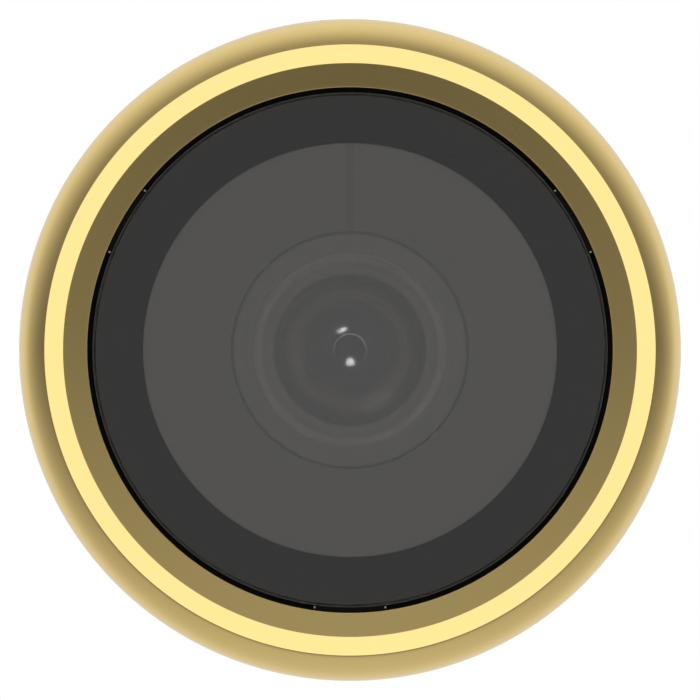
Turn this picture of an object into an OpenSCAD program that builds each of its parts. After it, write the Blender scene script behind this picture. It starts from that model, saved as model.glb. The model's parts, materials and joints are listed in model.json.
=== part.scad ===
// Peephole door camera: the outdoor head, the barrel that passes through the door and the clamp
// that holds it from inside. Millimetres.
// Pieces are drawn along their own axis, with the visitor at +z and the door's outer face at z = 0,
// and then turned so that the head faces -Y with +Z up.

/* [Bezel] */
// Outside diameter of the bezel
bezel_d = 56; // [52:0.5:64]
// Wall of the bezel's skirt
bezel_wall = 1.8; // [1.4:0.1:2.4]
// Width of the rounded shoulder, seen from the front
shoulder_w = 2.1; // [1.5:0.1:3]
// Radius of the shoulder's curve
shoulder_curve_r = 5.9; // [4.5:0.1:8]
// Width of the polished flat ring
flat_w = 1.6; // [1:0.1:2.4]
// Width of the sloped dish inside the flat ring
dish_w = 2.1; // [1.5:0.1:3]
// Depth of the dish
dish_depth = 1.35; // [0.8:0.05:2]
// Straight wall below the dish, down to the underside of the lip
lip_land = 1.2; // [0.8:0.1:1.6]
// Gap from the door to the back rim of the bezel
rim_gap = 0.8; // [0.4:0.1:1.2]
// Chamfer on the back rim of the bezel
rim_chamfer = 0.4; // [0.2:0.1:0.8]

/* [Window] */
// Thickness of the window pane
glass_t = 1.8; // [1.4:0.1:3]
// Gap between the pane's edge and the bezel
glass_gap = 0.5; // [0.3:0.05:0.8]
// How far the pane's face lies below the foot of the dish
glass_recess = 0.2; // [0:0.05:0.5]
// Chamfer on the pane's front edge
glass_chamfer = 0.2; // [0.1:0.05:0.4]
// Width of the black ring behind the pane, from the pane's edge
mask_w = 4.15; // [3:0.05:6]
// Thickness of the black tape
tape_t = 0.3; // [0.1:0.05:0.6]
// How far the tape stays back from the pane's edge
tape_inset = 0.3; // [0.1:0.05:0.6]

/* [Housing] */
// Wall of the inner housing
housing_wall = 1.5; // [1.2:0.1:2]
// Thickness of the housing's front plate
plate_t = 2; // [1.8:0.1:3]
// Width of the ledge that carries the baffle
ledge_w = 2.9; // [2:0.1:4]
// Number of lugs that centre the pane, and of cover screws
lug_count = 3; // [3:1:4]
// Angle that one lug spans
lug_span = 16; // [8:1:30]
// Direction of the first lug
lug_start = 30; // [0:5:90]
// How far a lug stays below the pane's face
lug_drop = 0.5; // [0.3:0.1:1]
// Radius of the posts that take the cover screws
cover_post_r = 2.4; // [2.1:0.1:3]
// Radius of the posts that carry the board
board_post_r = 2.1; // [1.8:0.1:2.6]
// Thickness of the seal under the housing's rim
seal_t = 0.5; // [0.3:0.1:0.8]

/* [Baffle] */
// Thickness of the baffle's rim
baffle_t = 1.2; // [1:0.1:1.5]
// How far the baffle reaches under the tape
baffle_lap = 0.4; // [0.2:0.05:0.8]
// How far the baffle's inner edge stands above the lens ring
baffle_rise = 0.2; // [0.1:0.05:0.5]
// Height of the baffle's inner edge
baffle_edge_h = 0.9; // [0.6:0.1:1.2]
// Width of the groove at 12 o'clock
groove_w = 0.35; // [0.2:0.05:0.6]
// Depth of the groove at 12 o'clock
groove_depth = 0.3; // [0.2:0.05:0.5]

/* [Lens] */
// Gap between the lens and the pane
lens_gap = 0.3; // [0.2:0.1:1]
// Diameter of the front lens
front_lens_d = 16.8; // [14:0.2:18]
// Curve radius of the front lens's dome
front_curve_r = 16.8; // [13:0.2:24]
// Distance from the dome's top to the front lens's back face
front_lens_t = 4.2; // [3.8:0.1:5]
// Diameter of the hollow in the front lens's back
hollow_d = 12.6; // [10:0.2:13.4]
// Curve radius of that hollow
hollow_curve_r = 10; // [8:0.5:14]
// How far the front ring's lip covers the front lens
ring_lap = 0.45; // [0.3:0.05:0.7]
// Thickness of the front ring's lip
ring_lip_t = 0.7; // [0.5:0.1:1]
// Width of the bevel on the front ring's inner edge
ring_bevel = 0.55; // [0.3:0.05:0.8]
// Wall of the lens barrel round the front lens
head_wall = 0.8; // [0.6:0.1:1.2]
// Wall of the front ring's skirt
ring_wall = 0.7; // [0.5:0.1:1]
// Height of the front ring's skirt below the front lens's seat
ring_skirt = 0.8; // [0.5:0.1:1.2]
// Height of the grip below the front ring
grip_h = 2.15; // [1.5:0.05:3]
// Depth of the stepped light trap behind the front lens, with the shoulder at its foot
trap_depth = 2; // [1.5:0.1:3]
// Number of steps in the light trap
trap_steps = 4; // [2:1:6]
// Diameter of the lens's mounting thread
lens_thread_d = 12; // [11:0.1:13]
// Diameter of the small lenses
small_lens_d = 9.2; // [8.4:0.1:9.6]
// Width of the shoulder that the second lens rests on
shoulder_step = 0.4; // [0.3:0.05:0.6]
// Thickness of that shoulder
shoulder_t = 0.4; // [0.3:0.05:0.6]
// Edge thickness of the second lens
second_lens_t = 1.4; // [1.2:0.1:2]
// Curve radius of the second lens's front
second_curve_r = 12; // [9:0.5:18]
// Curve radius of the hollow in the second lens's back
second_hollow_r = 4.5; // [4:0.1:6]
// Width of the flat rim round that hollow
second_rim_w = 1.4; // [1:0.1:1.8]
// Thickness of the spacer ring
spacer_t = 0.6; // [0.4:0.1:1]
// Wall of the spacer and of the rear ring
spacer_wall = 1.1; // [0.8:0.1:1.4]
// Thickness of the aperture stop
stop_t = 0.3; // [0.2:0.05:0.5]
// Diameter of the hole in the aperture stop
pupil_d = 2.7; // [1:0.1:4]
// Thickness of the rear lens at its middle
rear_lens_t = 2.2; // [1.8:0.1:3]
// Edge thickness of the rear lens
rear_edge_t = 0.8; // [0.5:0.1:1.2]
// How far the lens barrel reaches behind the rear lens
rear_guard = 0.9; // [0.8:0.1:1.5]

/* [Lens holder and sensor] */
// Thickness of the lock ring
lock_ring_t = 1.4; // [1:0.1:2]
// Diameter of the lock ring
lock_ring_d = 16.8; // [15:0.2:19]
// Side of the holder's square foot
holder_side = 17; // [16:0.5:20]
// Height of the holder's square foot
holder_foot_h = 1.6; // [1.2:0.1:2]
// Wall of the holder's round tower
tower_wall = 1.9; // [1.4:0.1:2.4]
// Side of the hollow over the sensor
sensor_room = 9.6; // [9:0.2:10]
// Side of the image sensor
sensor_side = 7.6; // [6:0.2:8.4]
// Thickness of the image sensor
sensor_t = 1; // [0.8:0.1:1.4]
// Gap between the sensor and the infrared filter
sensor_gap = 0.35; // [0.2:0.05:0.6]
// Side of the infrared filter
filter_side = 9; // [8.6:0.2:9.4]
// Thickness of the infrared filter
filter_t = 0.3; // [0.2:0.05:0.5]
// Thickness of the ledge that the filter is glued under
filter_ledge_t = 0.6; // [0.5:0.1:1]
// Diameter of the light hole through that ledge
light_hole_d = 8; // [7:0.1:8.4]
// Gap between that ledge and the back of the lens
tail_gap = 0.15; // [0.1:0.05:0.5]

/* [Board] */
// Thickness of the circuit board
board_t = 1; // [0.8:0.1:1.6]
// Room behind the board
board_gap = 1.6; // [1.5:0.1:3]
// Gap between the board's edge and the cover posts
board_edge_gap = 0.5; // [0.3:0.1:1]
// Width of the board's rim outside a board screw
board_screw_inset = 2.7; // [2.4:0.1:3.4]
// Side of the processor
processor_side = 7; // [5:0.5:7.5]
// Length of the memory chip
memory_w = 6; // [4:0.5:6.5]
// Height of the memory chip
memory_h = 5; // [4:0.5:5.5]
// Thickness of the chips
chip_t = 0.9; // [0.6:0.1:1.2]
// Length of a small part on the board
small_part_l = 1.6; // [1:0.1:2]
// Width of a small part on the board
small_part_w = 0.8; // [0.5:0.1:1]
// Step between the small parts
small_part_step = 2.4; // [2.2:0.1:3]
// Number of small parts in the row
small_part_count = 5; // [3:1:7]
// Width of the lead's header
header_w = 7; // [5:0.5:8]
// Thickness of the lead's header
header_d = 4.6; // [4.4:0.1:5]
// Height of the lead's header
header_h = 5; // [4.5:0.5:7]

/* [Rear cover and gasket] */
// Thickness of the rear cover
cover_t = 2.8; // [2.5:0.1:4]
// Thickness of the door gasket
gasket_t = 1.5; // [1.3:0.1:3]
// How far the door gasket stays inside the rear cover's edge
gasket_inset = 0.4; // [0.2:0.1:1]

/* [Barrel] */
// Diameter of the barrel, for a bored door
barrel_d = 13.8; // [13.6:0.1:16]
// Diameter of the barrel's bore
barrel_bore_d = 10.4; // [10.2:0.1:10.8]
// Length of the barrel behind the door's outer face
barrel_len = 72; // [70:1:90]
// Length of the plain shank before the thread
shank_len = 14; // [8:1:30]
// Pitch of the barrel's thread
thread_pitch = 1.5; // [1:0.25:2]
// Depth of the barrel's thread
thread_depth = 0.6; // [0.4:0.05:0.7]
// Lead-in at the end of the thread
thread_lead = 1.2; // [1:0.1:2]
// Diameter of the barrel's flange
flange_d = 22; // [21:0.5:26]
// Thickness of the barrel's flange
flange_t = 1.2; // [1:0.1:1.3]
// Width of the collar that centres the door gasket
collar_w = 0.3; // [0.2:0.05:0.5]

/* [Clamp] */
// Thickness of the door that it is shown clamped for
door_t = 45; // [35:1:56]
// Diameter of the inner gasket
inner_gasket_d = 30; // [26:1:36]
// Thickness of the inner gasket
inner_gasket_t = 1.5; // [1:0.1:3]
// Diameter of the clamp washer
clamp_washer_d = 32; // [28:1:40]
// Thickness of the clamp washer
clamp_washer_t = 1.6; // [1:0.1:3]
// Diameter of the clamp nut's flange
nut_flange_d = 26; // [23.5:0.5:28]
// Thickness of the clamp nut's flange
nut_flange_t = 2.2; // [1.5:0.1:3]
// Diameter of the clamp nut's grip
nut_d = 22; // [20:0.5:23]
// Height of the clamp nut
nut_h = 9; // [7:0.5:12]
// Number of flutes round the clamp nut
nut_flutes = 28; // [16:1:32]
// Radius of one flute
nut_flute_r = 0.6; // [0.4:0.05:0.8]
// Chamfer on the clamp nut's outer edge
nut_chamfer = 0.8; // [0.4:0.1:1.2]

/* [Lead and socket] */
// Diameter of the lead inside the barrel
lead_d = 4.2; // [3:0.1:4.4]
// Length of the grommet in the barrel
grommet_len = 6; // [4:0.5:10]
// Depth of the grommet below the door's outer face
grommet_depth = 3; // [1:0.5:6]
// Length of the tail socket inside the barrel
socket_len = 9; // [8:0.5:12]
// Thickness of the tail socket's flange
socket_flange_t = 1.2; // [0.8:0.1:2]
// Width of the socket's hollow
hollow_w = 6.4; // [5.5:0.1:6.8]
// Height of the socket's hollow
hollow_h = 4.4; // [4:0.1:4.8]
// Depth of the socket's hollow
hollow_depth = 6; // [5:0.5:7]
// Number of pins in the socket
pin_count = 4; // [2:1:4]
// Step between the pins
pin_step = 1.5; // [1.25:0.05:1.6]
// Side of a pin
pin_side = 0.6; // [0.4:0.05:0.7]
// How far a pin stays inside the hollow's mouth
pin_drop = 1.4; // [1:0.1:2.5]
// How far a pin reaches into the socket's floor
pin_root = 2; // [1:0.1:2.4]

/* [Screws] */
// Shank radius of the cover screws
cover_screw_r = 1.1; // [0.9:0.05:1.3]
// Length of the cover screws
cover_screw_len = 9; // [7:0.5:12]
// Shank radius of the barrel, board and holder screws
small_screw_r = 0.7; // [0.6:0.05:0.8]
// Length of the board screws below their heads
board_screw_len = 5; // [3.5:0.5:8]
// Head radius of the board screws
board_head_r = 1.7; // [1.4:0.1:1.9]
// Head height of the board and holder screws
small_head_h = 1; // [0.7:0.1:1.1]
// Head radius of the holder screws
holder_head_r = 1.3; // [1.2:0.1:1.5]
// How far a countersunk head is wider than its shank
countersink = 1; // [0.7:0.1:1.1]
// Radius of the grub screw that holds the bezel
grub_r = 1.25; // [1:0.05:1.5]
// Height of the grub screw above the rear cover
grub_rise = 4; // [3:0.5:8]
// How far the grub screw reaches into the housing
grub_bite = 1; // [0.6:0.1:1.2]
// How far the grub screw stays below the bezel's surface
grub_drop = 0.3; // [0.1:0.1:0.6]

/* [Fits] */
// Clearance between parts that are slid together
slip_fit = 0.1; // [0.05:0.01:0.15]
// Clearance round a screw, a lens or a running thread
run_fit = 0.05; // [0.03:0.01:0.08]
// Clearance round parts that pass through a hole freely
free_fit = 0.2; // [0.15:0.01:0.3]

/* [Hidden] */
$fn = 96;

// Bands of the face, from the outside in
bezel_r = bezel_d / 2;
flat_outer_r = bezel_r - shoulder_w;
flat_inner_r = flat_outer_r - flat_w;
opening_r = flat_inner_r - dish_w;
glass_r = opening_r - glass_gap;
clear_r = glass_r - mask_w;
bezel_bore_r = bezel_r - bezel_wall;

// Radii of the inner housing
housing_r = bezel_bore_r - slip_fit;
housing_bore_r = housing_r - housing_wall;
post_sink = 0.3;
cover_post_x = housing_bore_r - cover_post_r + post_sink;
seal_inner_r = housing_bore_r + post_sink + slip_fit;
board_r = cover_post_x - cover_post_r - board_edge_gap;
board_screw_x = board_r - board_screw_inset;
baffle_r = clear_r + baffle_lap;
ledge_r = baffle_r - ledge_w;

// Radii of the lens
front_lens_r = front_lens_d / 2;
lens_open_r = front_lens_r - ring_lap;
lens_seat_r = front_lens_r + run_fit;
head_r = lens_seat_r + head_wall;
ring_skirt_r = head_r + run_fit;
lens_ring_r = ring_skirt_r + ring_wall;
lens_thread_r = lens_thread_d / 2;
small_lens_r = small_lens_d / 2;
small_bore_r = small_lens_r + run_fit;
shoulder_hole_r = small_lens_r - shoulder_step;
hollow_r = hollow_d / 2;
tower_bore_r = lens_thread_r + run_fit;
tower_r = tower_bore_r + tower_wall;
lock_ring_r = lock_ring_d / 2;
lock_flute_r = 0.4;
lock_flutes = 32;
holder_screw_x = (holder_side + sensor_room) / 4;

// Height of a sphere's cap of curve radius c, out to the radius r
function sag(c, r) = c - sqrt(c * c - r * r);

// Levels from the door's outer face to the front of the bezel
cover_back_z = gasket_t;
cover_front_z = cover_back_z + cover_t;
board_back_z = cover_front_z + board_gap;
board_front_z = board_back_z + board_t;
sensor_front_z = board_front_z + sensor_t;
filter_back_z = sensor_front_z + sensor_gap;
filter_front_z = filter_back_z + filter_t;
filter_ledge_z = filter_front_z + filter_ledge_t;
lens_back_z = filter_ledge_z + tail_gap;
rear_vertex_z = lens_back_z + rear_guard;
stop_back_z = rear_vertex_z + rear_lens_t;
stop_front_z = stop_back_z + stop_t;
second_back_z = stop_front_z + spacer_t;
second_seat_z = second_back_z + second_lens_t;
lens_seat_z = second_seat_z + trap_depth;
lens_vertex_z = lens_seat_z + front_lens_t;
glass_back_z = lens_vertex_z + lens_gap;
glass_front_z = glass_back_z + glass_t;
dish_z = glass_front_z + glass_recess;
bezel_front_z = dish_z + dish_depth;

// Levels of the housing and the baffle
lip_z = dish_z - lip_land;
seat_z = glass_back_z - tape_t;
plate_z = seat_z - plate_t;
baffle_z = seat_z - baffle_t;
rim_z = cover_front_z + seal_t;
lug_z = glass_front_z - lug_drop;
grub_z = cover_front_z + grub_rise;

// Levels of the lens
ring_lip_z = lens_vertex_z - sag(front_curve_r, lens_open_r) + run_fit;
ring_top_z = ring_lip_z + ring_lip_t;
head_top_z = ring_lip_z - run_fit;
grip_top_z = lens_seat_z - ring_skirt - run_fit;
grip_z = grip_top_z - grip_h;
lock_ring_z = grip_z - slip_fit - lock_ring_t;
baffle_edge_z = ring_top_z + baffle_rise;
rear_edge_z = stop_back_z - rear_edge_t;
rear_bulge = rear_lens_t - rear_edge_t;
rear_curve_r = (small_lens_r * small_lens_r + rear_bulge * rear_bulge) / (2 * rear_bulge);
rear_ring_bore_r = small_lens_r - spacer_wall;
rear_ring_z = rear_vertex_z + sag(rear_curve_r, rear_ring_bore_r) - run_fit;

// Sizes of the barrel and of what slides on it
barrel_r = barrel_d / 2;
barrel_bore_r = barrel_bore_d / 2;
thread_root_r = barrel_r - thread_depth;
thread_turns = floor((barrel_len - shank_len - thread_lead) / thread_pitch);
thread_end_z = -shank_len - thread_turns * thread_pitch;
collar_r = barrel_r + collar_w;
flange_r = flange_d / 2;
flange_z = cover_back_z + flange_t;
barrel_screw_x = (collar_r + flange_r) / 2;
washer_z = -door_t - inner_gasket_t;
nut_z = washer_z - clamp_washer_t;
socket_r = barrel_bore_r - run_fit;
socket_flange_r = thread_root_r - free_fit;
socket_front_z = -barrel_len + socket_len;
socket_back_z = -barrel_len - socket_flange_t;
socket_floor_z = socket_back_z + hollow_depth;
header_z = board_back_z - header_h;

// Counts and directions
board_screw_count = 3;
board_screw_start = 90;
barrel_screw_count = 3;
barrel_screw_start = 0;
arc_steps = 12;
grub_direction = lug_start - 120;
overcut = 1;

// Shares of a screw's radius or head that its key hole or cross slot takes
key_share = 0.8;
slot_w_share = 0.6;
slot_l_share = 1.2;

// Colours
gold = [0.86, 0.7, 0.34];
brass = [0.76, 0.6, 0.28];
steel = [0.75, 0.76, 0.78];
black = [0.08, 0.08, 0.08];
charcoal = [0.17, 0.16, 0.15];
rubber = [0.12, 0.12, 0.13];
green = [0.07, 0.3, 0.17];
clear_glass = [0.75, 0.82, 0.85, 0.35];
filter_tint = [0.75, 0.55, 0.7, 0.5];

// Turns a piece from its own axis to the part's frame, facing -Y
module facing() {
    rotate([90, 0, 0]) children();
}

// Copies round the axis, at the distance x from it
module ring_of(count, start, x) {
    for (i = [0 : count - 1]) {
        rotate([0, 0, start + i * 360 / count]) translate([x, 0, 0]) children();
    }
}

// Ring of the given radii between two levels
module ring(inner_r, outer_r, z0, z1) {
    rotate_extrude() translate([inner_r, z0]) square([outer_r - inner_r, z1 - z0]);
}

// Round bar between two levels
module bar(r, z0, z1) {
    translate([0, 0, z0]) cylinder(r = r, h = z1 - z0);
}

// Block centred on the axis, between two levels
module block(w, d, z0, z1) {
    translate([-w / 2, -d / 2, z0]) cube([w, d, z1 - z0]);
}

// Ball with its lowest point at z, or its highest if up is false
module ball(r, z, up = true) {
    translate([0, 0, up ? z + r : z - r]) sphere(r = r);
}

// Countersunk screw with its head's face at z, pointing to +z, with a six-sided key hole
module countersunk_screw(r, z, length) {
    key_r = r * key_share;
    key_depth = countersink * key_share;
    difference() {
        union() {
            bar(r, z, z + length);
            translate([0, 0, z]) cylinder(r1 = r + countersink, r2 = r, h = countersink);
        }
        translate([0, 0, z - overcut]) cylinder(r = key_r, h = key_depth + overcut, $fn = 6);
    }
}

// Hole for a countersunk screw, through to the level z1
module countersunk_hole(r, z, z1) {
    bar(r + run_fit, z - overcut, z1 + overcut);
    translate([0, 0, z]) cylinder(r1 = r + countersink + run_fit, r2 = r + run_fit, h = countersink);
}

// Pan screw with its head below the level z, pointing to +z, with a cross slot
module pan_screw(r, head_r, z, length) {
    slot_w = r * slot_w_share;
    difference() {
        union() {
            bar(r, z - small_head_h / 2, z + length);
            bar(head_r, z - small_head_h, z);
        }
        for (turn = [0, 90]) {
            rotate([0, 0, turn])
                block(head_r * slot_l_share, slot_w, z - small_head_h - overcut, z - small_head_h / 2);
        }
    }
}

// Radial hole or screw at the grub screw's place, between two distances from the axis
module grub_bar(r, x0, x1) {
    rotate([0, 0, grub_direction]) translate([x0, 0, grub_z]) rotate([0, 90, 0]) cylinder(r = r, h = x1 - x0);
}

// Gold ring round the window: shoulder, flat ring, dish and skirt
module bezel() {
    curve_end = acos(1 - shoulder_w / shoulder_curve_r);
    curve_x = bezel_r - shoulder_curve_r;
    curve_z = bezel_front_z - shoulder_curve_r * sin(curve_end);
    shoulder = [for (i = [0 : arc_steps]) let (a = i * curve_end / arc_steps)
        [curve_x + shoulder_curve_r * cos(a), curve_z + shoulder_curve_r * sin(a)]];
    outline = concat(
        [[bezel_bore_r, rim_gap], [bezel_r - rim_chamfer, rim_gap], [bezel_r, rim_gap + rim_chamfer]],
        shoulder,
        [[flat_inner_r, bezel_front_z], [opening_r, dish_z], [opening_r, lip_z], [bezel_bore_r, lip_z]]
    );
    color(gold) facing() difference() {
        rotate_extrude() polygon(outline);
        grub_bar(grub_r + run_fit, bezel_bore_r - overcut, bezel_r + overcut);
    }
}

// Clear pane with a chamfered front edge
module window_glass() {
    color(clear_glass) facing() rotate_extrude() polygon([
        [0, glass_back_z], [glass_r, glass_back_z], [glass_r, glass_front_z - glass_chamfer],
        [glass_r - glass_chamfer, glass_front_z], [0, glass_front_z]
    ]);
}

// Black ring of tape that fixes the pane to the housing
module window_tape() {
    color(black) facing() ring(clear_r, glass_r - tape_inset, seat_z, glass_back_z);
}

// Inner cup with the pane's seat, the centring lugs and the posts
module camera_housing() {
    lug_sink = plate_t / 4;
    cup = [
        [housing_bore_r, rim_z], [housing_r, rim_z], [housing_r, lip_z], [opening_r, lip_z],
        [opening_r, seat_z], [baffle_r + slip_fit, seat_z], [baffle_r + slip_fit, baffle_z],
        [ledge_r, baffle_z], [ledge_r, plate_z], [housing_bore_r, plate_z]
    ];
    lug = [
        [glass_r + run_fit, seat_z - lug_sink], [opening_r - run_fit, seat_z - lug_sink],
        [opening_r - run_fit, lug_z], [glass_r + run_fit, lug_z]
    ];
    color(charcoal) facing() difference() {
        union() {
            rotate_extrude() polygon(cup);
            for (i = [0 : lug_count - 1]) {
                rotate([0, 0, lug_start - lug_span / 2 + i * 360 / lug_count])
                    rotate_extrude(angle = lug_span) polygon(lug);
            }
            ring_of(lug_count, lug_start, cover_post_x) bar(cover_post_r, cover_front_z, plate_z + post_sink);
            ring_of(board_screw_count, board_screw_start, board_screw_x)
                bar(board_post_r, board_front_z, plate_z + post_sink);
        }
        ring_of(lug_count, lug_start, cover_post_x)
            bar(cover_screw_r + run_fit, cover_front_z - overcut, cover_back_z + cover_screw_len + overcut);
        ring_of(board_screw_count, board_screw_start, board_screw_x)
            bar(small_screw_r + run_fit, board_front_z - overcut, board_back_z + board_screw_len + overcut);
        grub_bar(grub_r + run_fit, housing_r - grub_bite - run_fit, bezel_r);
    }
}

// Dark dished plate round the lens, with one radial groove at 12 o'clock
module lens_baffle() {
    inner_r = lens_ring_r + free_fit;
    slope = atan((seat_z - baffle_edge_z) / (clear_r - inner_r));
    outline = [
        [inner_r, baffle_edge_z - baffle_edge_h], [ledge_r - slip_fit, baffle_z], [baffle_r, baffle_z],
        [baffle_r, seat_z], [clear_r, seat_z], [inner_r, baffle_edge_z]
    ];
    color(black) facing() difference() {
        rotate_extrude() polygon(outline);
        translate([-groove_w / 2, inner_r, baffle_edge_z - groove_depth])
            rotate([slope, 0, 0]) translate([0, -overcut, 0])
                cube([groove_w, baffle_r, groove_depth + overcut]);
    }
}

// Cap that holds the front lens, with a bevelled inner edge
module lens_front_ring() {
    skirt_z = lens_seat_z - ring_skirt;
    color(black) facing() rotate_extrude() polygon([
        [ring_skirt_r, skirt_z], [lens_ring_r, skirt_z], [lens_ring_r, ring_top_z],
        [lens_open_r + ring_bevel, ring_top_z], [lens_open_r, ring_lip_z], [ring_skirt_r, ring_lip_z]
    ]);
}

// Domed front lens, hollow behind
module front_lens() {
    hollow_top_z = lens_seat_z + sag(hollow_curve_r, hollow_r);
    color(clear_glass) facing() difference() {
        intersection() {
            bar(front_lens_r, lens_seat_z, lens_vertex_z + overcut);
            ball(front_curve_r, lens_vertex_z, up = false);
        }
        ball(hollow_curve_r, hollow_top_z, up = false);
    }
}

// Tube that holds the lenses, with a stepped light trap behind the front lens
module lens_barrel() {
    trap_run = hollow_r - shoulder_hole_r;
    trap_z = second_seat_z + shoulder_t;
    trap_rise = lens_seat_z - trap_z;
    trap = [for (i = [0 : trap_steps - 1]) for (k = [0, 1])
        [shoulder_hole_r + trap_run * (i + 1) / trap_steps, trap_z + trap_rise * (i + k) / trap_steps]];
    outline = concat(
        [[small_bore_r, lens_back_z], [lens_thread_r, lens_back_z], [lens_thread_r, grip_z],
            [lens_ring_r, grip_z], [lens_ring_r, grip_top_z], [head_r, grip_top_z],
            [head_r, head_top_z], [lens_seat_r, head_top_z], [lens_seat_r, lens_seat_z]],
        [for (i = [len(trap) - 1 : -1 : 0]) trap[i]],
        [[shoulder_hole_r, trap_z], [shoulder_hole_r, second_seat_z], [small_bore_r, second_seat_z]]
    );
    color(charcoal) facing() rotate_extrude() polygon(outline);
}

// Small lens behind the light trap
module second_lens() {
    vertex_z = second_seat_z + sag(second_curve_r, shoulder_hole_r) - run_fit;
    second_hollow_z = second_back_z + sag(second_hollow_r, small_lens_r - second_rim_w);
    color(clear_glass) facing() difference() {
        intersection() {
            bar(small_lens_r, second_back_z, vertex_z + overcut);
            ball(second_curve_r, vertex_z, up = false);
        }
        ball(second_hollow_r, second_hollow_z, up = false);
    }
}

// Ring that keeps the second lens off the stop
module lens_spacer() {
    color(black) facing() ring(small_lens_r - spacer_wall, small_lens_r, stop_front_z, second_back_z);
}

// Thin disc with the pupil
module aperture_stop() {
    color(black) facing() ring(pupil_d / 2, small_lens_r, stop_back_z, stop_front_z);
}

// Flat-fronted rear lens, domed towards the sensor
module rear_lens() {
    color(clear_glass) facing() intersection() {
        bar(small_lens_r, rear_vertex_z - overcut, stop_back_z);
        ball(rear_curve_r, rear_vertex_z);
    }
}

// Ring that closes the back of the lens
module rear_lens_ring() {
    color(black) facing() ring(rear_ring_bore_r, small_lens_r, lens_back_z, rear_ring_z);
}

// Fluted ring that locks the lens in its holder
module lens_lock_ring() {
    color(steel) facing() difference() {
        ring(tower_bore_r, lock_ring_r, lock_ring_z, lock_ring_z + lock_ring_t);
        ring_of(lock_flutes, 0, lock_ring_r)
            bar(lock_flute_r, lock_ring_z - overcut, lock_ring_z + lock_ring_t + overcut);
    }
}

// Places of the two holder screws, on one diagonal
module at_holder_screws() {
    for (side = [-1, 1]) {
        translate([side * holder_screw_x, -side * holder_screw_x, 0]) children();
    }
}

// Threaded tower over the sensor, with a square foot on the board
module lens_holder() {
    foot_z = board_front_z + holder_foot_h;
    tower_top_z = lock_ring_z - run_fit;
    color(charcoal) facing() difference() {
        union() {
            block(holder_side, holder_side, board_front_z, foot_z);
            bar(tower_r, board_front_z, tower_top_z);
        }
        block(sensor_room, sensor_room, board_front_z - overcut, filter_front_z);
        bar(light_hole_d / 2, board_front_z, lock_ring_z);
        bar(tower_bore_r, filter_ledge_z, lock_ring_z + overcut);
        at_holder_screws() bar(small_screw_r + run_fit, board_front_z - overcut, foot_z);
    }
}

// Two screws that fix the holder from behind the board
module holder_screws() {
    grip_len = board_t + holder_foot_h - slip_fit;
    color(steel) facing() at_holder_screws() pan_screw(small_screw_r, holder_head_r, board_back_z, grip_len);
}

// Thin square filter under the holder's ledge
module infrared_filter() {
    color(filter_tint) facing() block(filter_side, filter_side, filter_back_z, filter_front_z);
}

// Sensor package on the front of the board
module image_sensor() {
    color(charcoal) facing() block(sensor_side, sensor_side, board_front_z, sensor_front_z);
}

// Round circuit board
module camera_board() {
    color(green) facing() difference() {
        bar(board_r, board_back_z, board_front_z);
        ring_of(board_screw_count, board_screw_start, board_screw_x)
            bar(small_screw_r + run_fit, board_back_z - overcut, board_front_z + overcut);
        at_holder_screws() bar(small_screw_r + run_fit, board_back_z - overcut, board_front_z + overcut);
    }
}

// Processor and memory on the back of the board, either side of the header
module board_chips() {
    header_gap = 3;
    chip_rise = 4;
    chip_x = header_w / 2 + header_gap;
    color(black) facing() {
        translate([chip_x + processor_side / 2, chip_rise, 0])
            block(processor_side, processor_side, board_back_z - chip_t, board_back_z);
        translate([-chip_x - memory_w / 2, -chip_rise / 2, 0])
            block(memory_w, memory_h, board_back_z - chip_t, board_back_z);
    }
}

// Row of small parts above the header, and the clock crystal below it
module board_parts() {
    row_gap = 8;
    row_y = header_d / 2 + row_gap;
    color(steel) facing() {
        for (i = [0 : small_part_count - 1]) {
            translate([(i - (small_part_count - 1) / 2) * small_part_step, row_y, 0])
                block(small_part_w, small_part_l, board_back_z - small_part_w, board_back_z);
        }
        translate([0, -row_y, 0])
            block(2 * small_part_l, small_part_l, board_back_z - small_part_w, board_back_z);
    }
}

// Header on the back of the board that takes the lead
module lead_header() {
    color("ivory") facing() block(header_w, header_d, header_z, board_back_z);
}

// Three screws that fix the board to the housing's posts
module board_screws() {
    color(steel) facing() ring_of(board_screw_count, board_screw_start, board_screw_x)
        pan_screw(small_screw_r, board_head_r, board_back_z, board_screw_len);
}

// Flat seal between the housing's rim and the rear cover
module cover_seal() {
    color(rubber) facing() ring(seal_inner_r, housing_r - slip_fit, cover_front_z, rim_z);
}

// Back plate of the head, with a pocket for the barrel's flange
module rear_cover() {
    outline = [
        [barrel_r + run_fit, flange_z], [flange_r + slip_fit, flange_z], [flange_r + slip_fit, cover_back_z],
        [housing_r, cover_back_z], [housing_r, cover_front_z], [barrel_r + run_fit, cover_front_z]
    ];
    color(charcoal) facing() difference() {
        rotate_extrude() polygon(outline);
        ring_of(lug_count, lug_start, cover_post_x)
            countersunk_hole(cover_screw_r, cover_back_z, cover_front_z);
        ring_of(barrel_screw_count, barrel_screw_start, barrel_screw_x)
            bar(small_screw_r + run_fit, cover_back_z, cover_front_z + overcut);
    }
}

// Screws that close the rear cover onto the housing's posts
module cover_screws() {
    color(steel) facing() ring_of(lug_count, lug_start, cover_post_x)
        countersunk_screw(cover_screw_r, cover_back_z, cover_screw_len);
}

// Grub screw that locks the bezel to the housing
module bezel_grub_screw() {
    tip_x = housing_r - grub_bite;
    head_x = bezel_r - grub_drop;
    key_depth = (head_x - tip_x) / 2;
    color(steel) facing() difference() {
        grub_bar(grub_r, tip_x, head_x);
        rotate([0, 0, grub_direction]) translate([head_x - key_depth, 0, grub_z]) rotate([0, 90, 0])
            cylinder(r = grub_r / 2, h = key_depth + overcut, $fn = 6);
    }
}

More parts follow.
